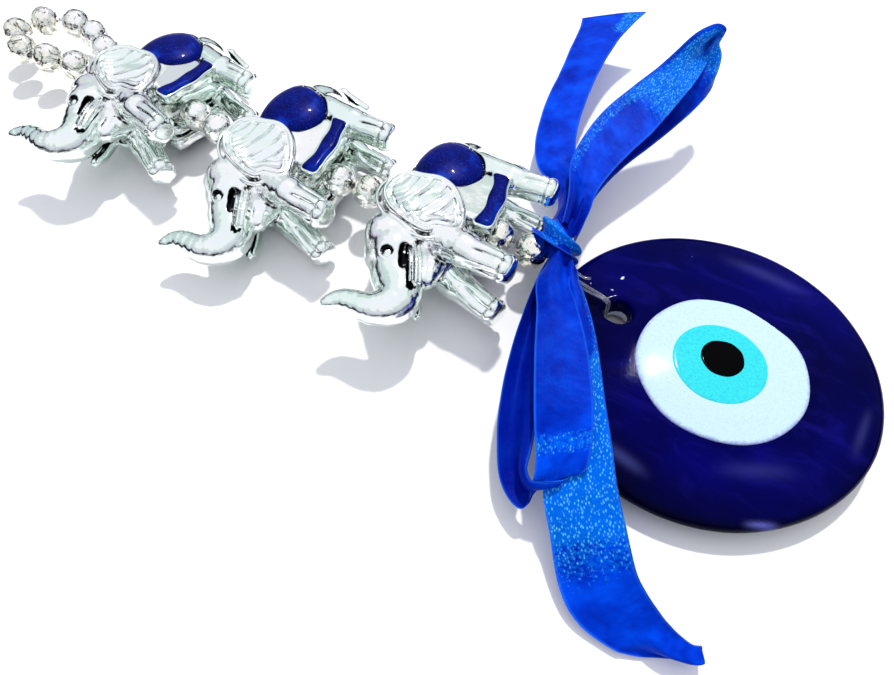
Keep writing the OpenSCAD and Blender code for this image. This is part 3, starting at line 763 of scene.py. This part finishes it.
C1, Y1, _ = CHARMS[1]; C2, Y2, _ = CHARMS[2]; C3, Y3, _ = CHARMS[3]
J_LOOP, J12, J23, J3L = on(C1, Y1, -16.2), on(C1, Y1, 21.75), on(C3, Y3, -22.15), on(C3, Y3, 13.2)
J_DISC = np.array([-30.9, 6.7, 7.2])
BR, GAP = 3.45, 7.05


def bead_mesh(seed):
    """Round bead with a drilled hole: small flats and dents all over, as pressed plastic has."""
    r = np.random.default_rng(seed)
    nu, nv = 64, 40
    hole = 0.62
    t0 = math.asin(hole / BR) * 1.12
    dents = unit_rows(r.normal(size=(26, 3)))
    verts, faces = [], []
    rows = []
    prof = []
    for j in range(nv + 1):
        th = t0 + (math.pi - 2 * t0) * j / nv
        prof.append((BR * math.sin(th), BR * math.cos(th)))
    z0 = prof[0][1]
    bore = [(hole + 0.02, z0 - 0.18), (hole, z0 - 0.7), (hole, 0.0), (hole, -z0 + 0.7), (hole + 0.02, -z0 + 0.18)]
    prof = prof + bore[::-1]
    m = len(prof)
    for j, (pr, pz) in enumerate(prof):
        for k in range(nu):
            a = 2 * math.pi * k / nu
            p = np.array([pr * math.cos(a), pr * math.sin(a), pz])
            if j <= nv:
                q = p / BR
                c = dents @ q
                p = p * (1 - 0.012 * np.exp(-((1 - c.max()) / 0.035)) - 0.004 * math.sin(9 * q[0] + 5 * q[2] + seed))
            verts.append(p)
    for j in range(m):
        j2 = (j + 1) % m
        for k in range(nu):
            k2 = (k + 1) % nu
            faces.append((j * nu + k, j2 * nu + k, j2 * nu + k2, j * nu + k2))
    return np.array(verts), faces


def unit_rows(a):
    return a / np.linalg.norm(a, axis=1, keepdims=True)


bead_data = []
for s in range(3):
    v, f = bead_mesh(s)
    mesh = bpy.data.meshes.new(f"bead_mesh_{s}")
    mesh.from_pydata((v * MM).tolist(), [], f)
    mesh.polygons.foreach_set("use_smooth", [True] * len(mesh.polygons))
    mesh.materials.append(M_BEAD)
    mesh.update()
    bead_data.append(mesh)


def put_bead(node, body, p, d, k):
    o = bpy.data.objects.new(node + "_look", bead_data[k % 3])
    bpy.context.scene.collection.objects.link(o)
    d = unit(d)
    q = Vector(d).to_track_quat("Z", "Y")
    o.matrix_world = Matrix.Translation(Vector((np.asarray(p) + SHIFT) * MM)) @ q.to_matrix().to_4x4() @ Matrix.Rotation(0.9 * k, 4, "Z")
    bpy.context.view_layer.update()
    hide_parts(node)
    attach(o, body)


D1, D2, D3 = (np.array([math.cos(math.radians(a)), math.sin(math.radians(a)), 0]) for a in (Y1, Y2, Y3))
put_bead("spacer_bead_1", "spacer_bead_1", on(C1, Y1, 10.55), D1, 0)
put_bead("spacer_bead_2", "spacer_bead_2", on(C1, Y1, 10.55 + GAP), D1, 1)
put_bead("spacer_bead_3", "spacer_bead_3", on(C2, Y2, 14.05 - BR - 0.15), D2, 2)
put_bead("spacer_bead_4", "spacer_bead_4", on(C3, Y3, -22.15 + BR + 0.15), D3, 3)
put_bead("lower_bead_1", "lower_bead_1", on(C3, Y3, 9.4), D3, 4)
DL = np.array([-34.6, 6.5, 8.2]) - J3L
put_bead("lower_bead_2", "lower_bead_2", J3L + unit(DL) * 3.75, DL, 5)
LOOP = np.array([[-155.0, 5.4, 8], [-162.9, 4.2, 8], [-170.9, 3.7, 8], [-177.3, 8.0, 8],
                 [-175.0, 14.8, 8], [-167.4, 17.9, 8], [-160.2, 16.8, 8], [-153.3, 13.5, 8]])
LDIR = [np.array([-8, -0.9, 0.0]) if i == 0 else np.array([5, -4.5, 0.0]) if i == 7 else LOOP[i + 1] - LOOP[i - 1] for i in range(8)]
for i in range(8):
    put_bead(f"loop_bead_{i + 1}", f"loop_bead_{i + 1}", LOOP[i], LDIR[i], i + 1)

# ---------------------------------------------------------------- clear line, crimp
def line(name, node, body, pts, r, k=4):
    o = tube(name, np.asarray(pts, float) + SHIFT, r, M_LINE, 14, k)
    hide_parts(node)
    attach(o, body)
    return o


line("line_3_look", "line_3", "link_3", [J23 + 0.2 * D3, (J23 + J3L) / 2, J3L], 0.36, 12)
line("line_2_look", "line_2", "link_2", [J12 + 0.2 * D2, (J12 + J23) / 2, J23], 0.36, 12)
line("line_1_look", "line_1", "link_1", [J_LOOP, (J_LOOP + J12) / 2, J12], 0.36, 12)
line("lower_line_look", "lower_line", "bow", [J3L + 0.3 * unit(DL), J3L + 3.7 * unit(DL), J3L + 7.2 * unit(DL), [-31.2, 7.1, 8.0]], 0.36)
ll = [[-147.4, 8.5, 8.7], [-149.6, 7.5, 8.4]]
for i in range(8):
    t = unit(LDIR[i])
    ll += [LOOP[i] - 3.3 * t, LOOP[i] + 3.3 * t]
ll += [[-149.3, 10.6, 8.4], [-147.4, 9.3, 8.7]]
line("loop_line_look", "loop_line", "hang_loop", ll, 0.36, 5)
HOLE = np.array([-17.5, 2.0]) - SHIFT[:2]
RD = unit(J_DISC[:2] - HOLE)


def along(s, z, side=0.0):
    return [HOLE[0] + s * RD[0] - side * RD[1], HOLE[1] + s * RD[1] + side * RD[0], z]


route = [(13.8, 7.1), (12.8, 7.2), (10, 6.9), (7, 7.1), (4.5, 7.4), (2.9, 7.4), (2.2, 6.7), (2.1, 4), (2.15, 1.7), (2.3, 1),
         (2.75, 0.5), (3.8, 0.42), (6, 0.45), (9, 0.5), (12, 0.8), (13.7, 1.6), (14.5, 2.8), (14.6, 4.4), (14.3, 6)]
line("disc_line_look", "disc_line", "disc", [along(s, z) for s, z in route], 0.27, 4)
# a second turn of the same line beside the first, and its melted tag end
line("disc_line_second", "disc_line", "disc", [along(13.0, 7.2, 0.5), along(12, 7.1, 0.75), along(9.5, 6.95, 0.9), along(6.6, 7.15, 0.85), along(4.2, 7.4, 0.6),
     along(2.9, 7.35, 0.5), along(2.2, 6.6, 0.6), along(2.1, 4.4, 0.65)], 0.20, 4)
line("disc_line_tag", "disc_line", "disc", [along(12.2, 7.5, -0.3), along(10.8, 7.6, -0.8), along(9.2, 7.35, -1.1), along(8.0, 7.45, -1.7)], 0.24, 4)

crimp = tube("top_crimp_look", np.array([[-143.75, 8.33, 9.3], [-144.3, 8.45, 9.24], [-145.2, 8.55, 9.06], [-146.1, 8.65, 8.85], [-146.6, 8.7, 8.8]]) + SHIFT,
             0.95, M_CRIMP, 28, 5, rad=[0.72, 0.93, 0.99, 0.86, 0.80, 0.86, 0.99, 0.95, 0.78])
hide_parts("top_crimp"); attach(crimp, "crimp")


# ---------------------------------------------------------------- glass disc and eye
def dome(r):
    return 8.0 - 0.0032 * r * r


def lathe(name, prof, mat, centre=(0, 0), seg=160, wob=0.0, seed=0, attrs=None):
    r = np.random.default_rng(seed)
    ph, am = r.uniform(0, 6.28, 6), r.uniform(0.4, 1, 6)
    verts, ed = [], []
    for j, (pr, pz) in enumerate(prof):
        for k in range(seg):
            a = 2 * math.pi * k / seg
            w = 1 + wob * sum(am[q] * math.sin((q + 2) * a + ph[q]) for q in range(6)) / 3
            verts.append((centre[0] + pr * w * math.cos(a), centre[1] + pr * w * math.sin(a), pz))
    faces = []
    for j in range(len(prof) - 1):
        for k in range(seg):
            k2 = (k + 1) % seg
            faces.append((j * seg + k, j * seg + k2, (j + 1) * seg + k2, (j + 1) * seg + k))
    verts, n = list(verts), len(prof)
    faces.append(tuple(range(seg - 1, -1, -1)))
    faces.append(tuple((n - 1) * seg + k for k in range(seg)))
    at = {k: np.repeat(v, seg) for k, v in (attrs or {}).items()}
    return make(name, verts, faces, mat, attrs=at)


def disc_d(P):
    """Cast disc: domed face, rolled rim, relieved back, flared hanging hole."""
    x, y, z = P[..., 0], P[..., 1], P[..., 2]
    r = np.sqrt(x * x + y * y)
    a = np.arctan2(y, x)
    R = 31.2 + 0.16 * np.sin(2 * a + 0.7) + 0.10 * np.sin(5 * a + 2.0)
    top = z - (8.0 - 0.0032 * r * r + 0.018 * x + 0.008 * y) - 0.03 * np.sin(0.33 * x + 1) * np.sin(0.29 * y)
    under = np.interp(r, [0, 13.5, 15.5, 20.5, 26.2, 29, 33], [0.0, 0.0, 0.18, 0.92, 1.35, 1.9, 3.2])
    d = smax(top, (under - z), 3.2)
    d = smax(d, r - R, 2.6)
    hx, hy = x + 17.5, y - 2.0
    hr = np.sqrt(hx * hx + hy * hy) + 0.10 * np.sin(3 * np.arctan2(hy, hx))
    mid = (z - 3.9) / 3.6
    d = smax(d, -(hr - (2.62 + 0.55 * np.clip(np.abs(mid), 0, 1.3) ** 4)), 1.0)
    # the face sinks a touch under the eye
    ex, ey = x - 2.6, y + 1.2
    er = np.sqrt(ex * ex + ey * ey)
    d = smax(d, -smax(er - 13.5, 7.45 - 0.004 * er * er - z, 0.3), 0.3)
    return d


HD = 0.5
dv, df = surface_nets(disc_d, (-33, -33, -1), (33, 33, 9.6), HD)
# painted light: a pale band on the far lower wall of the hanging hole stands in for the bright floor seen through it
hx_, hy_ = dv[:, 0] + 17.5, dv[:, 1] - 2.0
wall = sstep(3.6, 3.1, np.hypot(hx_, hy_)) * (0.5 + 0.5 * np.tanh((hy_ * 0.92 - hx_ * 0.40 - 0.9) * 1.6))
painted_light = wall * np.exp(-((dv[:, 2] - 2.0 - 0.25 * hx_) / 0.95) ** 2)
# painted glints: small bright spots in the face
for nx, ny, nr, na in ((-19.74, 9.99, 0.42, 1.0), (-20.48, 6.2, 0.34, 0.9), (-26.2, 7.2, 0.30, 0.7), (-24.6, 6.4, 0.28, 0.7), (-23.0, 6.6, 0.26, 0.6), (-9.6, 21.9, 0.3, 0.6)):
    painted_light = painted_light + na * 0.9 * np.exp(-((dv[:, 0] - nx) ** 2 + (dv[:, 1] - ny) ** 2) / nr ** 2) * (dv[:, 2] > 4)
dr_, da_ = np.hypot(dv[:, 0], dv[:, 1]), np.arctan2(dv[:, 1], dv[:, 0])


def streak(ax, ay, bx, by, wd):
    t = np.clip(((dv[:, 0] - ax) * (bx - ax) + (dv[:, 1] - ay) * (by - ay)) / ((bx - ax) ** 2 + (by - ay) ** 2), 0, 1)
    q = np.hypot(dv[:, 0] - ax - t * (bx - ax), dv[:, 1] - ay - t * (by - ay))
    return np.exp(-(q / wd) ** 2) * np.sin(np.pi * np.clip(t * 0.9 + 0.05, 0, 1)) * (dv[:, 2] > 3.5)


# painted highlights: soft lighter streaks on the face and a bright glint near the lower rim
lit = 0.30 * streak(-11.0, -23.6, -2.0, -25.6, 0.9) + 0.95 * streak(14.6, -25.6, 19.6, -23.2, 0.42) + 0.16 * streak(26.8, -6.0, 27.4, 4.0, 0.7) + 0.16 * streak(-4.0, 24.5, 12.0, 23.5, 1.4) + 0.12 * streak(8.0, -19.5, 19.0, -14.0, 1.2)
# painted shade: darker towards the rim away from the upper right, around the hanging hole, and at the very edge
painted_shade = 0.80 * sstep(19, 30, dr_) * (0.5 - 0.5 * np.cos(da_ - 1.2)) + 0.75 * np.exp(-((dv[:, 0] + 23) ** 2 + (dv[:, 1] - 0.5) ** 2) / 42.0) + 0.35 * sstep(28.5, 31, dr_)
disc = make("disc_look", dv, df, M_COBALT, attrs={"painted_light": painted_light, "lit": lit, "painted_shade": np.clip(painted_shade, 0, 0.92)})
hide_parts("glass_disc"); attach(disc, "disc")


def crown(r):
    return 8.42 - 0.0042 * r * r


def drop(name, node, mat, cx, cy, R, lift, wob, seed, inner=0.0, edge_w=1.2):
    """A poured drop of glass: wavy outline, rounded lip, gentle crown."""
    prof, ed = [], []
    base = crown(math.hypot(cx - 2.6, cy + 1.2) + R) - 1.0
    prof.append((R * 0.98, base)); ed.append(1.0)
    for t in np.linspace(0, 1, 7):
        a = t * math.pi / 2
        prof.append((R - 0.45 + 0.45 * math.cos(a), None)); ed.append(1.0 - t * 0.45 / edge_w)
    for t in np.linspace(1, 0, 26)[1:]:
        prof.append((max((R - 0.45) * t, 0.02), None)); ed.append(max(0.0, 1 - (R - (R - 0.45) * t) / edge_w))
    seg = 200
    r = np.random.default_rng(seed)
    ph, am = r.uniform(0, 6.28, 8), r.uniform(0.3, 1, 8)
    verts = []
    for j, (pr, pz) in enumerate(prof):
        for k in range(seg):
            a = 2 * math.pi * k / seg
            w = 1 + wob * sum(am[q] * math.sin((q + 2) * a + ph[q]) / (1 + 0.25 * q) for q in range(8)) / 3
            x, y = cx + pr * w * math.cos(a), cy + pr * w * math.sin(a)
            if pz is None:
                t = min(1.0, max(0.0, (R - pr) / 0.45))
                z = crown(math.hypot(x - 2.6, y + 1.2)) + lift - 0.30 * (1 - math.sqrt(max(0, 1 - (1 - t) ** 2)))
            else:
                z = pz
            verts.append((x, y, z))
    faces = []
    for j in range(len(prof) - 1):
        for k in range(seg):
            k2 = (k + 1) % seg
            faces.append((j * seg + k, j * seg + k2, (j + 1) * seg + k2, (j + 1) * seg + k))
    faces.append(tuple(range(seg - 1, -1, -1)))
    faces.append(tuple((len(prof) - 1) * seg + k for k in range(seg)))
    o = make(name, verts, faces, mat, attrs={"edge": np.repeat(ed, seg)})
    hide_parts(node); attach(o, "disc")
    return o


drop("eye_white_look", "eye_white", M_WHITE, 2.75, -1.1, 14.85, 0.0, 0.022, 3, edge_w=1.5)
drop("eye_iris_look", "eye_iris", M_IRIS, 2.1, -1.05, 8.2, 0.10, 0.014, 8, edge_w=0.8)
drop("eye_pupil_look", "eye_pupil", M_PUPIL, 2.2, -0.1, 3.85, 0.20, 0.03, 5, edge_w=0.5)


# ---------------------------------------------------------------- ribbon
def ribbon(name, node, st, wide, pleats, spark, held, phase=0.0, fold_shade=lambda u, f: 0.0, th=0.24, lift=0.0, cut0=0.0, cut1=0.0, camber=0.0):
    """A strip of ribbon along stations (centre, half width vector). Where it is pinched it pleats, so its cloth keeps its width."""
    ks, M = 9, 28
    c = spline([s[0] for s in st], ks) + SHIFT
    w = spline([s[1] for s in st], ks)
    m = len(c)
    u = np.linspace(-1, 1, M + 1)
    seg = np.r_[0, np.cumsum(np.linalg.norm(np.diff(c, axis=0), axis=1))]
    total = seg[-1]
    rows_t, rows_b, uv, sp, selv, dp = [], [], [], [], [], []
    A_prev = 0.0
    for i in range(m):
        a = float(np.linalg.norm(w[i])); e = w[i] / a
        t = unit(c[min(i + 1, m - 1)] - c[max(i - 1, 0)])
        e = unit(e - t * (e @ t) * 0.5)
        n = unit(np.cross(t, e))
        # depth of the pleats that takes up the spare width
        lo_, hi_ = 0.0, 1.5
        for _ in range(14):
            A = (lo_ + hi_) / 2
            dz = A * np.pi * pleats * np.cos(np.pi * pleats * u + phase)
            qq = np.sqrt(a * a + dz * dz); L = float(((qq[1:] + qq[:-1]) * 0.5 * np.diff(u)).sum())
            lo_, hi_ = (A, hi_) if L < wide else (lo_, A)
        A = (lo_ + hi_) / 2
        z = A * np.sin(np.pi * pleats * u + phase) * (1 - 0.25 * u * u)
        z = z - z.mean() + camber * (u * u - 0.33) * min(1.0, a / 4)
        z = z + 0.10 * np.sin(seg[i] * 0.31 + phase * 3) * u + 0.05 * np.sin(seg[i] * 0.83 + 4 * u)
        skew = cut0 * max(0.0, 1 - seg[i] / 8.0) + cut1 * max(0.0, 1 - (total - seg[i]) / 10.0)
        p = c[i][None] + u[:, None] * a * e[None] + (z[:, None] + lift) * n[None] + (u * skew)[:, None] * t[None]
        low = p[:, 2] < 1.1
        p[low, 2] = 0.25 + 0.85 * np.exp((p[low, 2] - 1.1) / 0.85)
        hth = th / 2
        rows_t.append(p + n * hth); rows_b.append(p - n * hth)
        uv.append(np.stack([u * wide / 2, np.full(M + 1, seg[i])], 1))
        sp.append(np.array([spark(uu, seg[i] / total, seg[i]) for uu in u]))
        selv.append(np.abs(u))
        # painted fold shade for this row, from the fold_shade function
        dp.append(np.array([fold_shade(uu, seg[i] / total) for uu in u]))
    T, B = np.concatenate(rows_t), np.concatenate(rows_b)
    K = M + 1
    N = m * K
    faces = []
    for i in range(m - 1):
        for j in range(M):
            a0, a1, b1, b0 = i * K + j, i * K + j + 1, (i + 1) * K + j + 1, (i + 1) * K + j
            faces.append((a0, a1, b1, b0)[::-1]); faces.append((N + a0, N + a1, N + b1, N + b0))
    for i in range(m - 1):
        for j in (0, M):
            q = (i * K + j, (i + 1) * K + j, N + (i + 1) * K + j, N + i * K + j)
            faces.append(q if j == 0 else q[::-1])
    for i in (0, m - 1):
        for j in range(M):
            q = (i * K + j, i * K + j + 1, N + i * K + j + 1, N + i * K + j)
            faces.append(q[::-1] if i == 0 else q)
    UV = np.concatenate(uv + uv)
    o = make(name, np.concatenate([T, B]), faces, M_SATIN, uv=UV, attrs={"spark": np.concatenate(sp + sp), "selv": np.concatenate(selv + selv), "fold_shade": np.concatenate(dp + dp)})
    bpy.context.view_layer.update()
    if node:
        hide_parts(node)
    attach(o, "bow")
    if held:
        area = float(np.trapz(2 * np.maximum(np.linalg.norm(w, axis=1), wide / 2), seg)) if hasattr(np, "trapz") else total * wide
        print("ribbon", name, "mean width", round(area / total, 2))
    print("ribbon", name, "length", round(total, 1))
    return o


def band(x, lo, hi, soft):
    return float(np.clip(min((x - lo) / soft, (hi - x) / soft) + 0.5, 0, 1))


A_ST = [((-32.3, 11.6, 8.8), (2.2, 0.2, 0.5)), ((-33.0, 15.8, 8.6), (2.7, 0.5, 0.6)), ((-33.5, 20.6, 8.4), (2.7, 0.9, 0.6)),
        ((-35.4, 25.4, 8.2), (3.0, 1.7, 0.6)), ((-38.8, 29.2, 7.9), (3.2, 2.0, 0.6)), ((-42.2, 32.4, 7.8), (3.7, 2.0, 0.8)),
        ((-45.4, 39, 7.8), (4.1, 1.5, 0.8)), ((-48.2, 50, 8), (4.4, 0.7, 1)),
        ((-50.0, 63, 8.4), (4.6, 0, 1.2)), ((-51.1, 75, 9), (5.3, 0.2, 1.5)), ((-50.9, 86, 9.8), (6.4, 4.2, 1.8))]
ribbon("ribbon_upper_tail_look", "ribbon_upper_tail", A_ST, 8.6, 1.0,
       lambda u, f, s: 0.9 * band(f, 0.90, 1.2, 0.05) * band(u, 0.35, 1.5, 0.4) + 0.35 * band(f, 0.0, 0.33, 0.05) * band(u, 0.80, 1.2, 0.15), "hung", camber=0.35, fold_shade=lambda u, f: 0.55 * (1 - sstep(0.10, 0.34, f)))
B_ST = [((-31, 12.0, 11.2), (1.8, -0.6, -0.4)), ((-32.2, 19, 11.1), (2.2, -1.8, -0.4)),
        ((-34.2, 26.6, 11.4), (3.0, -3.0, -0.6)), ((-34.2, 33.4, 12), (3.5, -3.5, -0.8)),
        ((-33, 40.4, 13.3), (3.9, -4.1, -0.9)), ((-31, 46.8, 14.6), (3.9, -4.2, -0.9)),
        ((-28.4, 53.8, 17), (3.0, -3.9, -1.1)), ((-26.4, 59.6, 19.2), (2.1, -3.5, -1.6)),
        ((-25.0, 65.6, 20.9), (1.2, -2.4, -2.6)), ((-23.8, 69.4, 20.9), (0.6, -1.0, -3.4)),
        ((-22.0, 69.8, 18.8), (0.8, -0.6, -3.6)), ((-22.0, 65.4, 16.4), (1.7, -1.8, -2.9)),
        ((-24.6, 58, 13.9), (2.5, -2.8, -1.8)), ((-27.8, 50, 11.4), (2.9, -3.1, -0.8)),
        ((-31.2, 42, 9.7), (3.0, -3.1, -0.6)), ((-33.2, 34, 9.0), (2.7, -2.7, -0.4)),
        ((-33.4, 26, 8.9), (2.2, -2.0, -0.2)), ((-32.0, 18, 8.8), (2.1, -1, -0.2)),
        ((-31.2, 12.4, 9.2), (1.8, -0.4, 0))]
ribbon("ribbon_upper_loop_look", "ribbon_upper_loop", B_ST, 8.4, 1.0,
       lambda u, f, s: 1.0 * band(f, 0.31, 0.56, 0.06) * band(u, -0.8, 1.2, 0.4) + 0.55 * band(f, 0.10, 0.34, 0.06) * band(u, -1.2, -0.45, 0.25)
       + 0.35 * band(f, 0.36, 0.40, 0.03) * band(u, 0.6, 1.2, 0.2), "hung", phase=0.6, fold_shade=lambda u, f: 0.85 * sstep(0.58, 0.66, f) + 0.85 * (1 - sstep(0.03, 0.12, f)))
C_ST = [((-29.8, 6.0, 11.4), (1.7, 0.5, 0)), ((-29.0, 2.0, 12.1), (2.3, 0.9, 0.1)), ((-28.1, -2.0, 12.6), (2.8, 1.2, 0.1)),
        ((-24.9, -7.4, 13.0), (3.4, 1.2, 0.3)), ((-20.2, -16.4, 13.4), (4.2, 1.5, 0.5)),
        ((-15.9, -25.0, 12.8), (3.9, 2.5, 0.9)), ((-12.9, -31.4, 11.0), (2.8, 3.0, 1.4)),
        ((-12.6, -34.6, 9.0), (2.1, 2.6, 1.7)), ((-15.2, -37.6, 6.7), (1.3, 1.6, 1.9)),
        ((-18.4, -35.8, 6.5), (1.8, 1.0, 1.9)), ((-21.0, -30.6, 7.3), (2.8, 0.7, 1.3)),
        ((-23.6, -24, 8.4), (3.1, 0.6, 0.8)), ((-26.4, -16, 9.1), (2.5, 0.8, 0.5)),
        ((-29.0, -7, 9.3), (1.6, 0.5, 0.3)), ((-30.3, 0, 9.4), (1.3, 0.3, 0.2)), ((-30.6, 5, 9.4), (1.2, 0.3, 0.1))]
ribbon("ribbon_lower_loop_look", "ribbon_lower_loop", C_ST, 7.6, 1.0,
       lambda u, f, s: 0.62 * band(f, 0.385, 0.425, 0.02) + 0.30 * band(f, 0.0, 0.09, 0.03) + 0.30 * band(f, 0.44, 0.50, 0.02), "hung", phase=2.4,
       fold_shade=lambda u, f: 0.42 * (1 - sstep(0.30, 0.40, f)) * (0.45 + 0.55 * float(np.clip(0.6 - u, 0, 1))) + 0.8 * sstep(0.44, 0.54, f))
D_ST = [((-27.6, 5.0, 10.4), (1.5, 0.5, 0)), ((-26.2, 1.4, 10.6), (2.0, 1.0, 0)), ((-23.7, -2.6, 10.7), (2.5, 1.2, 0)),
        ((-19.9, -10.4, 10.9), (3.3, 1.7, 0.2)), ((-15.4, -20.6, 11), (3.9, 2.3, 0.5)),
        ((-11.3, -28.8, 10.2), (4.2, 2.9, 1.2)), ((-8.5, -34.2, 9), (4.3, 3.2, 1.9)),
        ((-5.2, -38.4, 7.2), (4.6, 2.8, 2.1)), ((-1.0, -43.7, 5.0), (4.8, 2.7, 2.2)),
        ((2.3, -46.1, 3.9), (4.3, 3.0, 2.2)), ((6.2, -47.2, 3.1), (3.2, 2.9, 2.0)),
        ((10.5, -47.7, 2.5), (2.3, 2.1, 1.4)), ((14.3, -47.0, 1.9), (1.3, 1.3, 0.8)), ((16.5, -45.8, 1.6), (0.7, 0.9, 0.4))]


def d_spark(u, f, s):
    tri = band(f, 0.27, 0.50, 0.05) * band(u - (0.15 + 1.6 * (0.44 - f)), -0.25, 2.0, 0.35)
    band2 = band(f, 0.50, 0.66, 0.05) + 0.6 * band(f, 0.60, 0.76, 0.08)
    edge = 0.5 * band(f, 0.0, 0.30, 0.05) * band(u, 0.72, 1.3, 0.15)
    left = 0.45 * band(f, 0.36, 0.60, 0.08) * band(u, -0.55 + 0.8 * (0.55 - f), 0.0, 0.3)
    return min(1.0, 0.95 * tri + 1.0 * band2 + edge + left)


ribbon("ribbon_lower_tail_look", "ribbon_lower_tail", D_ST, 8.4, 1.0, d_spark, "hung", phase=1.2, camber=0.45,
       fold_shade=lambda u, f: 0.45 * (1 - sstep(0.26, 0.40, f)) * sstep(-0.2, 0.6, u))

# the knot: gathered core and one slanting turn of ribbon over it
def knot_band(name, pts, hw, pl, ph, spark=0.4):
    st = [(p, h) for p, h in zip(pts, hw)]
    return ribbon(name, None, st, 9.0, pl, lambda u, f, s: spark * band(u, -0.6, 0.9, 0.4), None, phase=ph, th=0.3)


def knot_d(P):
    d = rc(P, (-32.4, 13.8, 10.0), (-31.6, 9.2, 10.2), 1.9, 1.8)
    d = smin(d, rc(P, (-31.6, 9.2, 10.2), (-29.8, 5.4, 10.6), 1.8, 1.9), 1.2)
    d = smin(d, rc(P, (-32.6, 8.8, 8.6), (-30.6, 7.6, 8.4), 1.6, 1.5), 1.0)
    x, y, z = P[..., 0], P[..., 1], P[..., 2]
    s = (x + 31.2) * 0.5 + (z - 10.2) * 0.86
    d = d + 0.22 * np.sin(4.2 * s + 0.25 * y) + 0.10 * np.sin(9 * s + y)
    return d * 0.8


kv, kf = surface_nets(knot_d, (-37, 1, 4), (-25, 17, 15), 0.3)
kuv = np.stack([kv[:, 0] * 1.0 + kv[:, 2], kv[:, 1]], 1)
# painted shade: the whole knot is darkened (fold_shade 0.7)
knot = make("ribbon_knot_look", kv + SHIFT, kf, M_SATIN, uv=kuv, attrs={"spark": np.full(len(kv), 0.15), "selv": np.zeros(len(kv)), "fold_shade": np.full(len(kv), 0.7)})
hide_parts("ribbon_knot"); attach(knot, "bow")
knot_band("knot_wrap_1", [(-36.0, 13.2, 8.4), (-35.9, 11.7, 10.8), (-34.4, 9.5, 12.4), (-32.0, 8.0, 13.0), (-29.9, 7.6, 12.4), (-28.5, 8.4, 10.6), (-28.7, 9.5, 8.4), (-31.0, 11.0, 7.2), (-34.0, 12.6, 7.2), (-35.9, 13.3, 8.2)],
          [(1.0, 1.9, 0.4), (1.1, 2.2, 0.6), (0.9, 2.5, 0.4), (0.5, 2.7, 0.1), (-0.2, 2.5, 0), (-0.5, 2.1, 0), (-0.4, 1.9, 0), (0, 1.9, 0), (0.6, 1.9, 0.2), (1.0, 1.9, 0.4)], 1.5, 0.3, 0.95)

# ---------------------------------------------------------------- floor, light, camera
def floor_mat():
    m = Mat("pale_table")
    m.set(Roughness=0.55, Specular_IOR_Level=0.25)
    n = m.noise(14, 4, 0.6)
    r = m.ramp(n, "Fac", [(0.3, (0.86, 0.86, 0.87)), (0.7, (0.90, 0.90, 0.905))])
    m.l(r, "Color", m.b, "Base Color")
    g = m.noise(1400, 2, 0.5)
    m.bump(g, "Fac", 0.05, 0.00004)
    return m.m


zf = -0.0001
R0 = 2.2
fl = make("table_top", [(-R0, -R0, zf), (R0, -R0, zf), (R0, R0, zf), (-R0, R0, zf)], [(0, 1, 2, 3)], floor_mat(), smooth=False, mm=False)

world = bpy.data.worlds.new("studio")
bpy.context.scene.world = world
world.use_nodes = True
wt = world.node_tree
wt.nodes.clear()
wo = wt.nodes.new("ShaderNodeOutputWorld")
bg = wt.nodes.new("ShaderNodeBackground")
tc = wt.nodes.new("ShaderNodeTexCoord")
sx = wt.nodes.new("ShaderNodeSeparateXYZ")
rp = wt.nodes.new("ShaderNodeValToRGB")
wt.links.new(tc.outputs["Generated"], sx.inputs["Vector"])
nz = wt.nodes.new("ShaderNodeTexNoise")
nz.inputs["Scale"].default_value = 3.2
nz.inputs["Detail"].default_value = 2
wt.links.new(tc.outputs["Generated"], nz.inputs["Vector"])
ma = wt.nodes.new("ShaderNodeMath"); ma.operation = "MULTIPLY_ADD"
wt.links.new(nz.outputs["Fac"], ma.inputs[0]); ma.inputs[1].default_value = 0.5
ma.inputs[2].default_value = -0.25
ad = wt.nodes.new("ShaderNodeMath"); ad.operation = "ADD"
wt.links.new(sx.outputs["Z"], ad.inputs[0]); wt.links.new(ma.outputs[0], ad.inputs[1])
wt.links.new(ad.outputs[0], rp.inputs["Fac"])
el = rp.color_ramp.elements
stops = [(0.0, (0.02, 0.02, 0.025)), (0.20, (0.012, 0.012, 0.018)), (0.25, (0.60, 0.61, 0.72)), (0.42, (0.84, 0.85, 0.98)),
         (0.56, (0.74, 0.88, 0.84)), (0.66, (1.12, 1.12, 1.18)), (1.0, (1.12, 1.12, 1.24))]
while len(el) < len(stops):
    el.new(0.5)
for e_, (p_, c_) in zip(el, stops):
    e_.position = p_; e_.color = (*c_, 1)
wt.links.new(rp.outputs["Color"], bg.inputs["Color"])
bg.inputs["Strength"].default_value = 0.84
wt.links.new(bg.outputs[0], wo.inputs["Surface"])

key = bpy.data.lights.new("key", "SUN")
key.energy = 2.5
key.angle = math.radians(3.0)
key.color = (1.0, 0.985, 0.96)
ko = bpy.data.objects.new("key", key)
bpy.context.scene.collection.objects.link(ko)
ko.rotation_mode = "QUATERNION"
ko.rotation_quaternion = Vector((-0.13, 0.50, 0.856)).to_track_quat("Z", "Y")

cam = bpy.data.cameras.new("camera")
co = bpy.data.objects.new("camera", cam)
bpy.context.scene.collection.objects.link(co)
right = Vector((0.872901, 0.487848, 0.006997))
up = Vector((-0.409606, 0.724961, 0.553764))
fwd = Vector((-0.265080, 0.486247, -0.832645))
mw = Matrix((right, up, -fwd)).transposed().to_4x4()
mw.translation = Vector((-0.0088496, -0.0800012, 0.1114))
co.matrix_world = mw
cam.sensor_width = 36
cam.sensor_fit = "HORIZONTAL"
cam.lens = 700 / 894 * 36
cam.clip_start, cam.clip_end = 0.005, 10
bpy.context.scene.camera = co
bpy.context.scene.view_settings.view_transform = "Standard"
